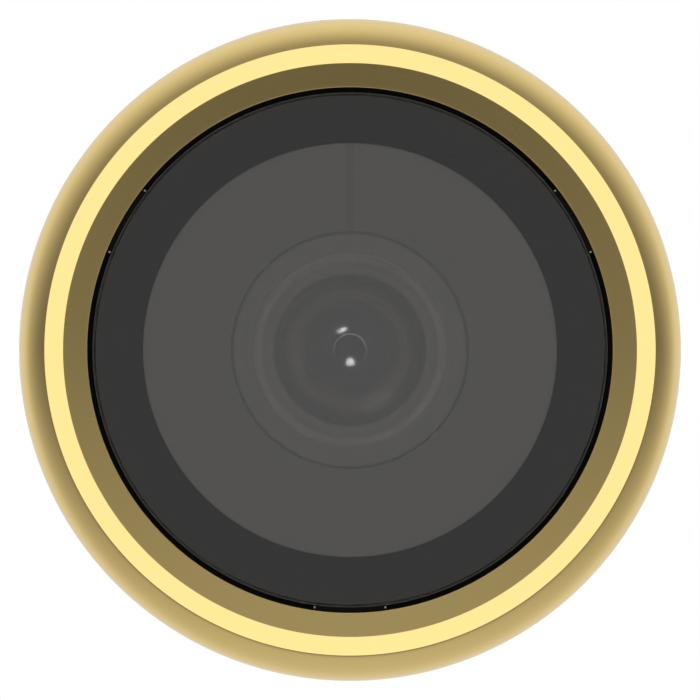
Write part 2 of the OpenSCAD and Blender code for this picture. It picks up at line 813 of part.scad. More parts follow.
// Tube through the door: flange, collar, plain shank and thread.
// The thread is drawn as one ridge for each turn.
module barrel() {
    ridge = thread_pitch / 4;
    thread = [for (i = [0 : thread_turns - 1]) let (z = -shank_len - i * thread_pitch) for (k = [1 : 4])
        [k < 3 ? thread_root_r : barrel_r, z - k * ridge]];
    outline = concat(
        [[barrel_bore_r, -barrel_len], [barrel_bore_r, cover_front_z], [barrel_r, cover_front_z],
            [barrel_r, flange_z], [flange_r, flange_z], [flange_r, cover_back_z],
            [collar_r, cover_back_z], [collar_r, 0], [barrel_r, 0], [barrel_r, -shank_len]],
        thread,
        [[thread_root_r, thread_end_z - ridge], [thread_root_r, -barrel_len]]
    );
    color(brass) facing() difference() {
        rotate_extrude() polygon(outline);
        ring_of(barrel_screw_count, barrel_screw_start, barrel_screw_x)
            countersunk_hole(small_screw_r, cover_back_z, flange_z);
    }
}

// Screws that fix the barrel's flange to the rear cover
module barrel_screws() {
    color(steel) facing() ring_of(barrel_screw_count, barrel_screw_start, barrel_screw_x)
        countersunk_screw(small_screw_r, cover_back_z, cover_t - slip_fit);
}

// Soft ring between the head and the door
module door_gasket() {
    color(rubber) facing() ring(collar_r + free_fit, housing_r - gasket_inset, 0, cover_back_z);
}

// Soft ring between the clamp washer and the inside of the door
module inner_gasket() {
    color(rubber) facing() ring(barrel_r + free_fit, inner_gasket_d / 2, washer_z, -door_t);
}

// Flat washer under the clamp nut
module clamp_washer() {
    color(steel) facing() ring(barrel_r + free_fit, clamp_washer_d / 2, nut_z, washer_z);
}

// Fluted nut with a flange, which pulls the head to the door
module clamp_nut() {
    nut_r = nut_d / 2;
    bore_r = barrel_r + slip_fit;
    grip_back_z = nut_z - nut_h;
    flange_back_z = nut_z - nut_flange_t;
    outline = [
        [bore_r, nut_z], [nut_flange_d / 2, nut_z], [nut_flange_d / 2, flange_back_z],
        [nut_r, flange_back_z], [nut_r, grip_back_z + nut_chamfer], [nut_r - nut_chamfer, grip_back_z],
        [bore_r, grip_back_z]
    ];
    color(brass) facing() difference() {
        rotate_extrude() polygon(outline);
        ring_of(nut_flutes, 0, nut_r) bar(nut_flute_r, grip_back_z - overcut, flange_back_z);
    }
}

// Lead from the board's header to the tail socket
module inner_lead() {
    color(black) facing() bar(lead_d / 2, socket_front_z, header_z);
}

// Soft plug that seals the bore round the lead
module lead_grommet() {
    color(rubber) facing()
        ring(lead_d / 2 + run_fit, barrel_bore_r - run_fit, -grommet_depth - grommet_len, -grommet_depth);
}

// Insert in the barrel's end with a keyed hollow for the indoor unit's plug
module tail_socket() {
    key_w = hollow_w / 3;
    key_depth = 0.6;
    pin_hole = pin_side + run_fit;
    color(black) facing() difference() {
        union() {
            bar(socket_r, -barrel_len, socket_front_z);
            bar(socket_flange_r, socket_back_z, -barrel_len);
        }
        block(hollow_w, hollow_h, socket_back_z - overcut, socket_floor_z);
        translate([0, hollow_h / 2, 0]) block(key_w, 2 * key_depth, socket_back_z - overcut, socket_floor_z);
        at_pins()
            block(pin_hole, pin_hole, socket_floor_z - overcut, socket_floor_z + pin_root);
    }
}

// Places of the pins in the socket's hollow
module at_pins() {
    for (i = [0 : pin_count - 1]) {
        translate([(i - (pin_count - 1) / 2) * pin_step, 0, 0]) children();
    }
}

// Row of contact pins
module socket_pins() {
    color(gold) facing() at_pins()
        block(pin_side, pin_side, socket_back_z + pin_drop, socket_floor_z + pin_root);
}

bezel();
window_glass();
window_tape();
camera_housing();
lens_baffle();
lens_front_ring();
front_lens();
lens_barrel();
second_lens();
lens_spacer();
aperture_stop();
rear_lens();
rear_lens_ring();
lens_lock_ring();
lens_holder();
holder_screws();
infrared_filter();
image_sensor();
camera_board();
board_chips();
board_parts();
lead_header();
board_screws();
cover_seal();
rear_cover();
cover_screws();
bezel_grub_screw();
barrel();
barrel_screws();
door_gasket();
inner_gasket();
clamp_washer();
clamp_nut();
inner_lead();
lead_grommet();
tail_socket();
socket_pins();
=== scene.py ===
# %% [markdown]
# # A peephole door camera, dressed for its portrait
# The outdoor head of a door camera is a turned gold ring with a round window. Behind the window sit a
# dark baffle and a small wide-angle lens, and a threaded barrel carries the whole head through the door.
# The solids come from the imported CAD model. This lesson keeps them as a fixed frame, rebuilds the pieces
# that the eye lingers on with softer edges, a real thread and fluting, and gives every piece a finish.

# %% Load the fixed frame
import json
import math

import bmesh
import bpy
from mathutils import Matrix, Vector


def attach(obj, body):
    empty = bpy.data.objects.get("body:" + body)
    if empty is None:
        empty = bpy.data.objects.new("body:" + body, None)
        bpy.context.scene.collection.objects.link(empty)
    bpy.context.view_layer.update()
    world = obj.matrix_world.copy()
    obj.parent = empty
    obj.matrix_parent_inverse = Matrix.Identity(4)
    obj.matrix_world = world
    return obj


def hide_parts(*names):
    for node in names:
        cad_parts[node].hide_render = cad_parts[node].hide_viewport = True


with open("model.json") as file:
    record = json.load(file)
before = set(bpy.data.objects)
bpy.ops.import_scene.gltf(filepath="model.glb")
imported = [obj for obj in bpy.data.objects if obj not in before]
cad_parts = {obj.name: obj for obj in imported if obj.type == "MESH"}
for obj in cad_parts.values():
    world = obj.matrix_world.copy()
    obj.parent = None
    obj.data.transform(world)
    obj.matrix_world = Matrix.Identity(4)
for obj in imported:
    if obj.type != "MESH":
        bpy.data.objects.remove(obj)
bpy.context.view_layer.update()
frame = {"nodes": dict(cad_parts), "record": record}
MM = 0.001
scene = bpy.context.scene

# %% [markdown]
# ## The camera
# The photograph looks straight at the face, and the rings show no perspective at all, so it was taken
# from far away. A long lens from a long distance does the same. An orthographic camera would fit the
# front view too, but it could not frame the other sides, so a perspective camera is the better choice.
# It stays nearer than about 2.8 m: beyond that, the views from other sides would clip the part away.
# The picture is square, and the bezel's 56 mm fill 662 of its 700 pixels.

# %% Camera straight in front of the face
PICTURE_PX = 700
FACE_PX = 661.9
BEZEL_D = 56.0
BEZEL_WIDEST = 20.0
CAMERA_AWAY = 2.6
SENSOR_MM = 36.0

frame_width = BEZEL_D * PICTURE_PX / FACE_PX * MM
camera = bpy.data.objects.new("camera", bpy.data.cameras.new("camera"))
scene.collection.objects.link(camera)
camera.data.sensor_width = SENSOR_MM
camera.data.lens = SENSOR_MM * CAMERA_AWAY / frame_width
camera.location = (0, -BEZEL_WIDEST * MM - CAMERA_AWAY, 0)
camera.rotation_euler = (math.radians(90), 0, 0)
scene.camera = camera
scene.view_settings.view_transform = "Standard"
print("focal length", round(camera.data.lens), "mm")

# %% [markdown]
# ## Nodes in few words
# Shader trees are quick to draw by hand and long to write in code. One small helper makes a node, sets
# its options and fills its sockets, either with a number or with a link from another node. Socket names
# keep their spelling, with an underscore for each space.

# %% Helpers for shader nodes
def add_node(tree, kind, options=None, **sockets):
    made = tree.nodes.new(kind)
    for option, value in (options or {}).items():
        setattr(made, option, value)
    for socket, value in sockets.items():
        fill(tree, made.inputs[socket.replace("_", " ")], value)
    return made


def fill(tree, socket, value):
    if isinstance(value, bpy.types.NodeSocket):
        tree.links.new(value, socket)
    else:
        socket.default_value = value


def calculate(tree, operation, *values):
    made = add_node(tree, "ShaderNodeMath", {"operation": operation})
    for socket, value in zip(made.inputs, values):
        fill(tree, socket, value)
    return made.outputs[0]


def mix_shaders(tree, share, first, second):
    made = add_node(tree, "ShaderNodeMixShader", Fac=share)
    tree.links.new(first.outputs[0], made.inputs[1])
    tree.links.new(second.outputs[0], made.inputs[2])
    return made.outputs[0]


def brightness_curve(tree, along, stops):
    made = add_node(tree, "ShaderNodeValToRGB", Fac=along)
    elements = made.color_ramp.elements
    while len(elements) < len(stops):
        elements.new(0.5)
    for element, (place, value) in zip(elements, stops):
        element.position = place
    for element, (place, value) in zip(elements, stops):
        element.color = (value, value, value, 1)
    return made.outputs["Color"]


print("node helpers", [h.__name__ for h in (add_node, fill, calculate, mix_shaders, brightness_curve)])

# %% [markdown]
# ## The studio
# Polished metal shows the room more than its own colour, so the room is half of the gold's look. A white
# wall stands in front of the face and lights the flat ring and the pane. Round the sides the room is
# dark, which gives the dish its brown, and it brightens again behind, which gives the shoulder its glow.
# The room could be built from cards and lamps. A world whose brightness depends only on the direction is
# simpler and has no edges to catch: three brightness curves run from front to back, one each for the
# sides, the ceiling and the floor. The camera itself sees plain white.

# %% World: a soft room, dark at the sides
FRONT_WALL = [(0.0, 1.14), (0.1, 1.14)]
ROOM_SIDE = FRONT_WALL + [(0.17, 0.65), (0.27, 0.192), (0.45, 0.162), (0.57, 0.24), (0.71, 0.41),
                          (0.84, 0.72), (1.0, 0.75)]
ROOM_ABOVE = FRONT_WALL + [(0.17, 0.72), (0.27, 0.34), (0.45, 0.31), (0.57, 0.52), (0.71, 0.74),
                           (0.84, 0.82), (1.0, 0.75)]
ROOM_BELOW = FRONT_WALL + [(0.17, 0.6), (0.27, 0.062), (0.36, 0.175), (0.45, 0.56), (0.57, 0.55),
                           (0.71, 0.6), (0.84, 0.64), (1.0, 0.72)]

world = bpy.data.worlds.new("soft room")
world.use_nodes = True
scene.world = world
room = world.node_tree
room.nodes.clear()
direction = add_node(room, "ShaderNodeSeparateXYZ",
                     Vector=add_node(room, "ShaderNodeTexCoord").outputs["Generated"])
to_back = calculate(room, "MULTIPLY_ADD", direction.outputs["Y"], 0.5, 0.5)
above = calculate(room, "MAXIMUM", direction.outputs["Z"], 0.0)
below = calculate(room, "MAXIMUM", calculate(room, "MULTIPLY", direction.outputs["Z"], -1.0), 0.0)
level = calculate(room, "SUBTRACT", 1.0, calculate(room, "ADD", above, below))
glow = calculate(room, "MULTIPLY", level, brightness_curve(room, to_back, ROOM_SIDE))
glow = calculate(room, "MULTIPLY_ADD", above, brightness_curve(room, to_back, ROOM_ABOVE), glow)
glow = calculate(room, "MULTIPLY_ADD", below, brightness_curve(room, to_back, ROOM_BELOW), glow)
ray = add_node(room, "ShaderNodeLightPath").outputs
plain_white = calculate(room, "MAXIMUM", ray["Is Camera Ray"], ray["Is Transmission Ray"])
soft_room = add_node(room, "ShaderNodeBackground", Color=(1, 1, 1, 1), Strength=glow)
backdrop = add_node(room, "ShaderNodeBackground", Color=(1, 1, 1, 1), Strength=1.0)
add_node(room, "ShaderNodeOutputWorld", Surface=mix_shaders(room, plain_white, soft_room, backdrop))
print("room curves", len(ROOM_SIDE), len(ROOM_ABOVE), len(ROOM_BELOW), "stops")

# %% [markdown]
# ## The floor
# A head that hangs in a door has nothing to stand on, but the scene still gets a pale floor for the other
# views. It is a disc below the part that fades out at its rim. Only lines of sight meet it. Light and
# reflections pass through, because the room's lower curve already holds the floor's brightness. For the
# camera it glows a little, so that it joins the white background, and the part's shadow stays on it. From
# below it is clear, so that it never hides the part.

# %% Pale floor, faded at the rim
FLOOR_Z = -0.05
FLOOR_MIDDLE_Y = 0.024
FLOOR_R = 0.36
FADE_FROM = 0.2
FADE_TO = FLOOR_R * 0.98
FLOOR_GLOW = 0.6
ROUND_STEPS = 96

floor_mesh = bpy.data.meshes.new("floor")
disc = bmesh.new()
bmesh.ops.create_circle(disc, cap_ends=True, segments=ROUND_STEPS, radius=FLOOR_R)
disc.to_mesh(floor_mesh)
disc.free()
floor = bpy.data.objects.new("floor", floor_mesh)
floor.location = (0, FLOOR_MIDDLE_Y, FLOOR_Z)
scene.collection.objects.link(floor)

pale = bpy.data.materials.new("pale floor")
pale.use_nodes = True
tree = pale.node_tree
tree.nodes.clear()
off_middle = add_node(tree, "ShaderNodeVectorMath", {"operation": "LENGTH"},
                      Vector=add_node(tree, "ShaderNodeTexCoord").outputs["Object"])
fade = add_node(tree, "ShaderNodeMapRange", {"interpolation_type": "SMOOTHSTEP"},
                Value=off_middle.outputs["Value"], From_Min=FADE_FROM, From_Max=FADE_TO)
ray = add_node(tree, "ShaderNodeLightPath").outputs
sight = calculate(tree, "MAXIMUM", ray["Is Camera Ray"], ray["Is Transmission Ray"])
unseen = calculate(tree, "MAXIMUM", fade.outputs["Result"], calculate(tree, "SUBTRACT", 1.0, sight))
from_below = add_node(tree, "ShaderNodeNewGeometry").outputs["Backfacing"]
unseen = calculate(tree, "MAXIMUM", unseen, from_below)
lit = add_node(tree, "ShaderNodeBsdfDiffuse", Color=(0.8, 0.8, 0.79, 1))
veil = add_node(tree, "ShaderNodeEmission", Color=(1, 1, 1, 1),
                Strength=calculate(tree, "MULTIPLY", ray["Is Camera Ray"], FLOOR_GLOW))
both = add_node(tree, "ShaderNodeAddShader")
tree.links.new(lit.outputs[0], both.inputs[0])
tree.links.new(veil.outputs[0], both.inputs[1])
clear = add_node(tree, "ShaderNodeBsdfTransparent")
add_node(tree, "ShaderNodeOutputMaterial", Surface=mix_shaders(tree, unseen, both, clear))
floor_mesh.materials.append(pale)
print("floor radius", FLOOR_R, "m at", FLOOR_Z)

# %% [markdown]
# ## Profiles with soft corners
# Almost every piece of a door camera comes off a lathe, so a profile spun round the axis is the natural
# way to make it. A profile is a list of points: the distance from the axis and the distance in front of
# the door, in millimetres. Real edges are never sharp, so a third number says how far a corner is
# softened. A Bevel modifier would round every edge alike, while here each corner has its own amount.

# %% Helpers: soft corners and arcs
SOFT_STEPS = 3
EDGE_SHARE = 0.45


def soften(corners, edge=0.1, closed=True):
    soft = []
    for i, corner in enumerate(corners):
        here = Vector(corner[:2])
        reach = corner[2] if len(corner) > 2 else edge
        at_end = not closed and i in (0, len(corners) - 1)
        if reach == 0 or at_end:
            soft.append(here)
            continue
        before = Vector(corners[i - 1][:2]) - here
        after = Vector(corners[(i + 1) % len(corners)][:2]) - here
        start = here + before.normalized() * min(reach, before.length * EDGE_SHARE)
        end = here + after.normalized() * min(reach, after.length * EDGE_SHARE)
        for step in range(SOFT_STEPS + 1):
            t = step / SOFT_STEPS
            soft.append(start * (1 - t) ** 2 + here * 2 * t * (1 - t) + end * t * t)
    return soft


def arc(centre_r, centre_front, radius, start, end, steps):
    turns = [math.radians(start + (end - start) * i / steps) for i in range(steps + 1)]
    return [(centre_r + radius * math.cos(a), centre_front + radius * math.sin(a), 0) for a in turns]


print("a softened square has", len(soften([(1, 0), (2, 0), (2, 1), (1, 1)])), "points")

# %% [markdown]
# ## A lathe
# Blender's Screw modifier can spin a profile, but the nut's flutes need their own radius at each angle,
# so the vertices are written here. Angles start at twelve o'clock and run clockwise for someone who
# stands in front of the door.

# %% Helpers: points on a ring and a spun shell
COLUMNS = 192


def ring_point(r, front, angle):
    return (r * math.sin(angle) * MM, -front * MM, r * math.cos(angle) * MM)


def spin(points, columns=COLUMNS, closed=True, shape=None):
    """Vertices and faces of a profile turned round the axis. shape gives the radius at an angle."""
    verts, faces = [], []
    angles = [2 * math.pi * c / columns for c in range(columns)]
    for r, front in points:
        for a in angles:
            verts.append(ring_point(shape(r, front, a) if shape else r, front, a))
    rows = len(points)
    for row in range(rows if closed else rows - 1):
        here = row * columns
        beyond = (row + 1) % rows * columns
        for c in range(columns):
            d = (c + 1) % columns
            faces.append((here + c, here + d, beyond + d, beyond + c))
    return verts, faces


print("lathe columns", COLUMNS)

# %% [markdown]
# ## From shells to pieces
# A piece is one closed mesh. Shells that touch are joined point to point, and all faces turn outwards.
# Holes are cut with a Boolean, which is the simplest way through a curved wall. It can leave slivers, so
# they are dissolved straight away.

# %% Helpers: build a piece and cut a hole
JOIN = 1e-7
SLIVER = 1e-6


def as_piece(name, mesh):
    bmesh.ops.recalc_face_normals(mesh, faces=mesh.faces)
    data = bpy.data.meshes.new(name)
    mesh.to_mesh(data)
    mesh.free()
    piece = bpy.data.objects.new(name, data)
    scene.collection.objects.link(piece)
    return piece


def build(name, *shells):
    """One mesh object from shells of vertices and faces, with touching points joined."""
    mesh = bmesh.new()
    for verts, faces in shells:
        made = [mesh.verts.new(v) for v in verts]
        for face in faces:
            mesh.faces.new([made[i] for i in face])
    bmesh.ops.remove_doubles(mesh, verts=mesh.verts, dist=JOIN)
    bmesh.ops.dissolve_degenerate(mesh, edges=mesh.edges, dist=JOIN)
    return as_piece(name, mesh)


def cut(piece, cutter):
    """Take the cutter's shape out of a piece, and remove the cutter."""
    step = piece.modifiers.new("cut", "BOOLEAN")
    step.operation = "DIFFERENCE"
    step.solver = "EXACT"
    step.object = cutter
    ready = piece.evaluated_get(bpy.context.evaluated_depsgraph_get())
    old, piece_mesh = piece.data, bpy.data.meshes.new_from_object(ready)
    piece.modifiers.clear()
    clean = bmesh.new()
    clean.from_mesh(piece_mesh)
    bmesh.ops.dissolve_degenerate(clean, edges=clean.edges, dist=SLIVER)
    clean.to_mesh(piece_mesh)
    clean.free()
    piece.data = piece_mesh
    bpy.data.meshes.remove(old)
    bpy.data.objects.remove(cutter)


print("points join within", JOIN, "m, slivers under", SLIVER, "m go")

# %% [markdown]
# ## Into the frame
# Each new piece stands for one CAD solid. It moves with that solid's body and takes its finish from the
# same slot. Smooth shading with sharp creases keeps flats flat, and weighted normals help it where a wide
# face meets a narrow softened edge.

# %% Helper: shade a piece and put it in the frame
SHARP_FROM = math.radians(40)


def fit(piece, node, body, finish):
    """Shade a piece, give it its finish and put it in the frame in place of its CAD node."""
    piece.data.shade_smooth()
    piece.data.set_sharp_from_angle(angle=SHARP_FROM)
    even = piece.modifiers.new("even normals", "WEIGHTED_NORMAL")
    even.keep_sharp = True
    piece.data.materials.clear()
    piece.data.materials.append(finish)
    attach(piece, body)
    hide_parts(node)
    print(piece.name, len(piece.data.vertices), "points, rides on", body)


print("creases from", round(math.degrees(SHARP_FROM)), "degrees")

# %% [markdown]
# ## Building blocks for finishes
# A real surface is never one flat colour. Each finish starts from a Principled shader, then gets patches
# of slightly different colour, an uneven roughness and a fine relief, all from noise in the part's own
# millimetres. Turned metal has rings left by the tool: these are noise along one line only, read by the
# distance from the axis on a face, or by the place along the axis on a tube.

# %% Helpers: a finish, and noise by place
def new_finish(name, colour, roughness, metal=0.0):
    finish = bpy.data.materials.new(name)
    finish.use_nodes = True
    shader = finish.node_tree.nodes["Principled BSDF"]
    shader.inputs["Base Color"].default_value = (*colour, 1)
    shader.inputs["Roughness"].default_value = roughness
    shader.inputs["Metallic"].default_value = metal
    return finish, finish.node_tree, shader


def position(tree):
    return add_node(tree, "ShaderNodeTexCoord").outputs["Object"]


def coordinates(tree):
    return add_node(tree, "ShaderNodeSeparateXYZ", Vector=position(tree)).outputs


def from_axis(tree):
    flat = add_node(tree, "ShaderNodeVectorMath", {"operation": "MULTIPLY"})
    fill(tree, flat.inputs[0], position(tree))
    fill(tree, flat.inputs[1], (1, 0, 1))
    return add_node(tree, "ShaderNodeVectorMath", {"operation": "LENGTH"},
                    Vector=flat.outputs["Vector"]).outputs["Value"]


def noise(tree, size_mm, detail=3.0):
    made = add_node(tree, "ShaderNodeTexNoise",
                    Vector=position(tree), Scale=1 / (size_mm * MM), Detail=detail)
    return made.outputs["Fac"]


def tool_marks(tree, along, size_mm):
    made = add_node(tree, "ShaderNodeTexNoise", {"noise_dimensions": "1D"},
                    W=along, Scale=1 / (size_mm * MM), Detail=2.0)
    return made.outputs["Fac"]


print("place helpers", [h.__name__ for h in (position, coordinates, from_axis, noise, tool_marks)])

# %% [markdown]
# ## Patches, uneven shine and relief
# Noise gives a number between 0 and 1. One helper stretches its middle to any range, one mixes two colours
# by it, and one turns it into a bump. The Mix node has sockets for numbers, vectors and colours under the
# same names, so its colour sockets are taken by their places in the list.

# %% Helpers: ranges, mixed colours and bumps
COLOUR_A, COLOUR_B, COLOUR_OUT = 6, 7, 2


def between(tree, factor, low, high, start=0.3, end=0.7):
    made = add_node(tree, "ShaderNodeMapRange", Value=factor, From_Min=start, From_Max=end,
                    To_Min=low, To_Max=high)
    return made.outputs["Result"]


def patches(tree, factor, colour_a, colour_b, how="MIX"):
    made = add_node(tree, "ShaderNodeMix", {"data_type": "RGBA", "blend_type": how}, Factor=factor)
    for place, colour in ((COLOUR_A, colour_a), (COLOUR_B, colour_b)):
        linked = isinstance(colour, bpy.types.NodeSocket)
        fill(tree, made.inputs[place], colour if linked else (*colour, 1))
    return made.outputs[COLOUR_OUT]


def relief(tree, shader, height, depth_mm):
    bump = add_node(tree, "ShaderNodeBump", Height=height, Distance=depth_mm * MM, Strength=1.0)
    fill(tree, shader.inputs["Normal"], bump.outputs["Normal"])


print("look helpers", [h.__name__ for h in (between, patches, relief)])

# %% [markdown]
# ## Satin gold
# The bezel is plated in a pale gold. Gold colours its reflections, so the base colour is simply the
# brightest tone that the flat ring shows under the white wall. The plating is even, with a very faint
# cloudiness, and the lathe left rings finer than a hair, which only soften the reflection.

# %% Gold finish
gold, tree, shader = new_finish("satin gold", (0.98, 0.738, 0.29), 0.2, metal=1.0)
cloud = noise(tree, 9.0)
fill(tree, shader.inputs["Base Color"], patches(tree, cloud, (0.985, 0.743, 0.294), (0.972, 0.73, 0.284)))
rings = tool_marks(tree, from_axis(tree), 0.12)
fill(tree, shader.inputs["Roughness"], between(tree, rings, 0.17, 0.21))
relief(tree, shader, rings, 0.0012)
print("gold nodes", len(tree.nodes))

# %% [markdown]
# ## The bezel
# The bezel is one turned ring: a skirt that hides the housing, a rounded shoulder, a flat polished ring
# and a dish that leads down to the window. Its creases are crisp in the photograph, so they are softened
# by only a few hundredths of a millimetre. A grub screw at six o'clock holds it to the housing, and its
# hole is cut with a round bar.

# %% Bezel
BEZEL_R = BEZEL_D / 2
BEZEL_FRONT = 24.55
BEZEL_BORE_R = 26.2
SKIRT_BACK = 0.8
SKIRT_CHAMFER = 0.4
SHOULDER_R = 5.9
SHOULDER_END = 51.1
SHOULDER_STEPS = 28
FLAT_INNER_R = 24.26
DISH_FOOT = 23.2
OPENING_R = 22.2
LIP_BACK = 22.0
CREASE = 0.05
BEZEL_COLUMNS = 256
GRUB_FRONT = 8.3
GRUB_HOLE_R = 1.3
GRUB_BAR_MIDDLE = -27.0
GRUB_BAR_LENGTH = 6.0
BAR_STEPS = 48

shoulder_front = BEZEL_FRONT - SHOULDER_R * math.sin(math.radians(SHOULDER_END))
shoulder = arc(BEZEL_R - SHOULDER_R, shoulder_front, SHOULDER_R, 0, SHOULDER_END, SHOULDER_STEPS)
shoulder[-1] = (*shoulder[-1][:2], CREASE)
bezel_profile = [
    (BEZEL_BORE_R, SKIRT_BACK, 0.15), (BEZEL_R - SKIRT_CHAMFER, SKIRT_BACK),
    (BEZEL_R, SKIRT_BACK + SKIRT_CHAMFER), *shoulder, (FLAT_INNER_R, BEZEL_FRONT, CREASE),
    (OPENING_R, DISH_FOOT, 0.08), (OPENING_R, LIP_BACK), (BEZEL_BORE_R, LIP_BACK),
]


def round_bar(r, centre, direction_to, length):
    """Round bar used as a cutter, centred on a point and pointing along a direction."""
    bar = bmesh.new()
    bmesh.ops.create_cone(bar, cap_ends=True, segments=BAR_STEPS, radius1=r * MM, radius2=r * MM,
                          depth=length * MM)
    made = as_piece("bar", bar)
    made.location = Vector(centre) * MM
    made.rotation_euler = Vector(direction_to).to_track_quat("Z", "Y").to_euler()
    return made


bezel = build("gold_bezel", spin(soften(bezel_profile), columns=BEZEL_COLUMNS))
cut(bezel, round_bar(GRUB_HOLE_R, (0, -GRUB_FRONT, GRUB_BAR_MIDDLE), (0, 0, -1), GRUB_BAR_LENGTH))
fit(bezel, "bezel", "head", gold)

# %% [markdown]
# ## Window glass
# The pane is etched anti-glare glass. Each face gives back a few hundredths of the light as an even haze,
# and the rest goes straight on to the baffle and the lens. A full glass shader would bend light that so
# flat a pane doesn't bend, and it needs many samples to settle. So the pane mixes a straight-through
# shader with a haze, by the share that glass gives back at each angle. For a ray that leaves the pane the
# index is turned over, so that the back face gives back as much as the front. The edge of the pane is
# polished, so a soft mirror takes the place of the haze there.

# %% Pane finishes
HAZE_INDEX = 1.578
POLISH_INDEX = 1.459


def window_finish(name, index, kind, **look):
    """Straight-through glass that gives back a share of the light, by haze or by a mirror."""
    finish = bpy.data.materials.new(name)
    finish.use_nodes = True
    tree = finish.node_tree
    tree.nodes.clear()
    leaving = add_node(tree, "ShaderNodeNewGeometry").outputs["Backfacing"]
    turned_index = calculate(tree, "MULTIPLY_ADD", leaving, 1 / index - index, index)
    share = add_node(tree, "ShaderNodeFresnel", IOR=turned_index).outputs["Fac"]
    straight = add_node(tree, "ShaderNodeBsdfTransparent", Color=(0.99, 0.988, 0.985, 1))
    given_back = add_node(tree, kind, **look)
    add_node(tree, "ShaderNodeOutputMaterial", Surface=mix_shaders(tree, share, straight, given_back))
    return finish, tree, given_back


hazy, tree, haze = window_finish("etched window glass", HAZE_INDEX, "ShaderNodeBsdfDiffuse")
fill(tree, haze.inputs["Color"], patches(tree, noise(tree, 6.0), (1.0, 0.99, 0.985), (0.975, 0.965, 0.96)))
polished, tree, mirror = window_finish("polished pane edge", POLISH_INDEX, "ShaderNodeBsdfGlossy",
                                       Color=(1, 1, 1, 1))
fill(tree, mirror.inputs["Roughness"], between(tree, noise(tree, 6.0), 0.38, 0.42))
print("pane indices", HAZE_INDEX, POLISH_INDEX)

# %% [markdown]
# ## The pane
# The pane drops by a fine step at its rim and slopes up from it to the face, which the photograph shows as
# a thin bright line. The profile is open at the axis, where the spun rows close to one point. Faces that
# look sideways belong to the edge and get the polished finish.

# %% Pane
GLASS_BACK = 21.2
GLASS_FRONT = 23.0
GLASS_R = 21.757
LAND_R = 21.638
LAND_FRONT = 22.72
FACE_R = 21.53
EDGE_FACING = 0.99

pane_profile = [(0, GLASS_BACK, 0), (GLASS_R, GLASS_BACK, 0.05), (GLASS_R, LAND_FRONT, 0.015),
                (LAND_R, LAND_FRONT, 0.01), (FACE_R, GLASS_FRONT, 0.02), (0, GLASS_FRONT, 0)]
pane = build("window_pane", spin(soften(pane_profile, closed=False), closed=False))
fit(pane, "window_glass", "head", hazy)
pane.data.materials.append(polished)
for face in pane.data.polygons:
    face.material_index = 1 if abs(face.normal.y) < EDGE_FACING else 0
print("polished edge faces", sum(face.material_index for face in pane.data.polygons))

# %% [markdown]
# ## Black mask
# The dark ring in the window is black tape on the back of the pane. Glued to the glass it has no shine of
# its own, so its shader has none either. Its front lies two hundredths of a millimetre inside the pane:
# two faces in exactly one plane would flicker.

# %% Tape finish and ring
CLEAR_R = 17.495
TAPE_R = 21.72
SEAT = 20.9
SINK = 0.02

tape_finish, tree, shader = new_finish("black tape", (0.0015, 0.0012, 0.0013), 0.9)
fill(tree, shader.inputs["Base Color"],
     patches(tree, noise(tree, 1.2), (0.0018, 0.0012, 0.0014), (0.001, 0.0006, 0.0008)))
shader.inputs["Specular IOR Level"].default_value = 0.0
tape_front = GLASS_BACK + SINK
tape_profile = [(CLEAR_R, SEAT), (TAPE_R, SEAT), (TAPE_R, tape_front), (CLEAR_R, tape_front)]
tape = build("black_mask", spin([Vector(p) for p in tape_profile]))
fit(tape, "window_tape", "head", tape_finish)

# %% [markdown]
# ## Blackened metal round the lens
# The baffle and the lens's own parts are blackened so that they don't light the picture. Black anodising
# is matt, with the lathe's rings just visible. Its black follows a curve over the distance from the axis,
# which paints light and shade ring by ring: a paler band at the inner edge of the lens ring is a painted
# highlight, the gap round the ring is painted lighter against its shade, and the other steps are made
# lighter or darker to suit how light falls on them. A material for each ring would do the same with far
# more nodes.

# %% Black finish
# Painted light and shade by radius: 7.55 to 8.2 mm is a painted highlight at the lens ring's inner edge,
# and 9.9 to 10.06 mm paints the shaded gap round the ring lighter.
BLACK_LIGHT_AND_SHADE_BY_RADIUS = [(0.0, 0.012), (3.4, 0.019), (4.2, 0.0235), (4.7, 0.027), (5.2, 0.0175), (5.4, 0.0095),
                   (6.28, 0.007), (6.5, 0.0315), (7.25, 0.0325), (7.55, 0.058), (8.06, 0.082),
                   (8.2, 0.0565), (8.5, 0.0495), (8.6, 0.039), (9.6, 0.0388), (9.87, 0.031), (9.9, 0.13),
                   (10.06, 0.13), (10.09, 0.026), (10.25, 0.0282)]
BLACK_REACH = 20.0

lens_black, tree, shader = new_finish("blackened metal", (0.02, 0.0195, 0.0185), 0.55)
radius = calculate(tree, "MULTIPLY", from_axis(tree), 1 / (BLACK_REACH * MM))
black = brightness_curve(tree, radius, [(r / BLACK_REACH, value) for r, value in BLACK_LIGHT_AND_SHADE_BY_RADIUS])
soot = patches(tree, noise(tree, 2.5), (1.04, 1.02, 0.9), (0.92, 0.9, 0.8))
fill(tree, shader.inputs["Base Color"], patches(tree, 1.0, black, soot, how="MULTIPLY"))
turned = tool_marks(tree, from_axis(tree), 0.16)
fill(tree, shader.inputs["Roughness"], between(tree, turned, 0.55, 0.63))
relief(tree, shader, turned, 0.001)
shader.inputs["Specular IOR Level"].default_value = 0.02
print("black curve", len(BLACK_LIGHT_AND_SHADE_BY_RADIUS), "stops")

# %% [markdown]
# ## Matt black housing
# The housing shows only in the narrow gap round the pane, where three lugs stand up and centre the glass.
# Its black is darker than the other moulded plastic, as painted shade for the narrow gap. The ends of each
# lug carry a painted highlight: pale spots where light would glint on their corners. The angle round the
# axis, folded into one third of a turn, finds these ends. The height and the distance from the axis keep
# the pale spots small. Painting them by place needs no extra meshes.

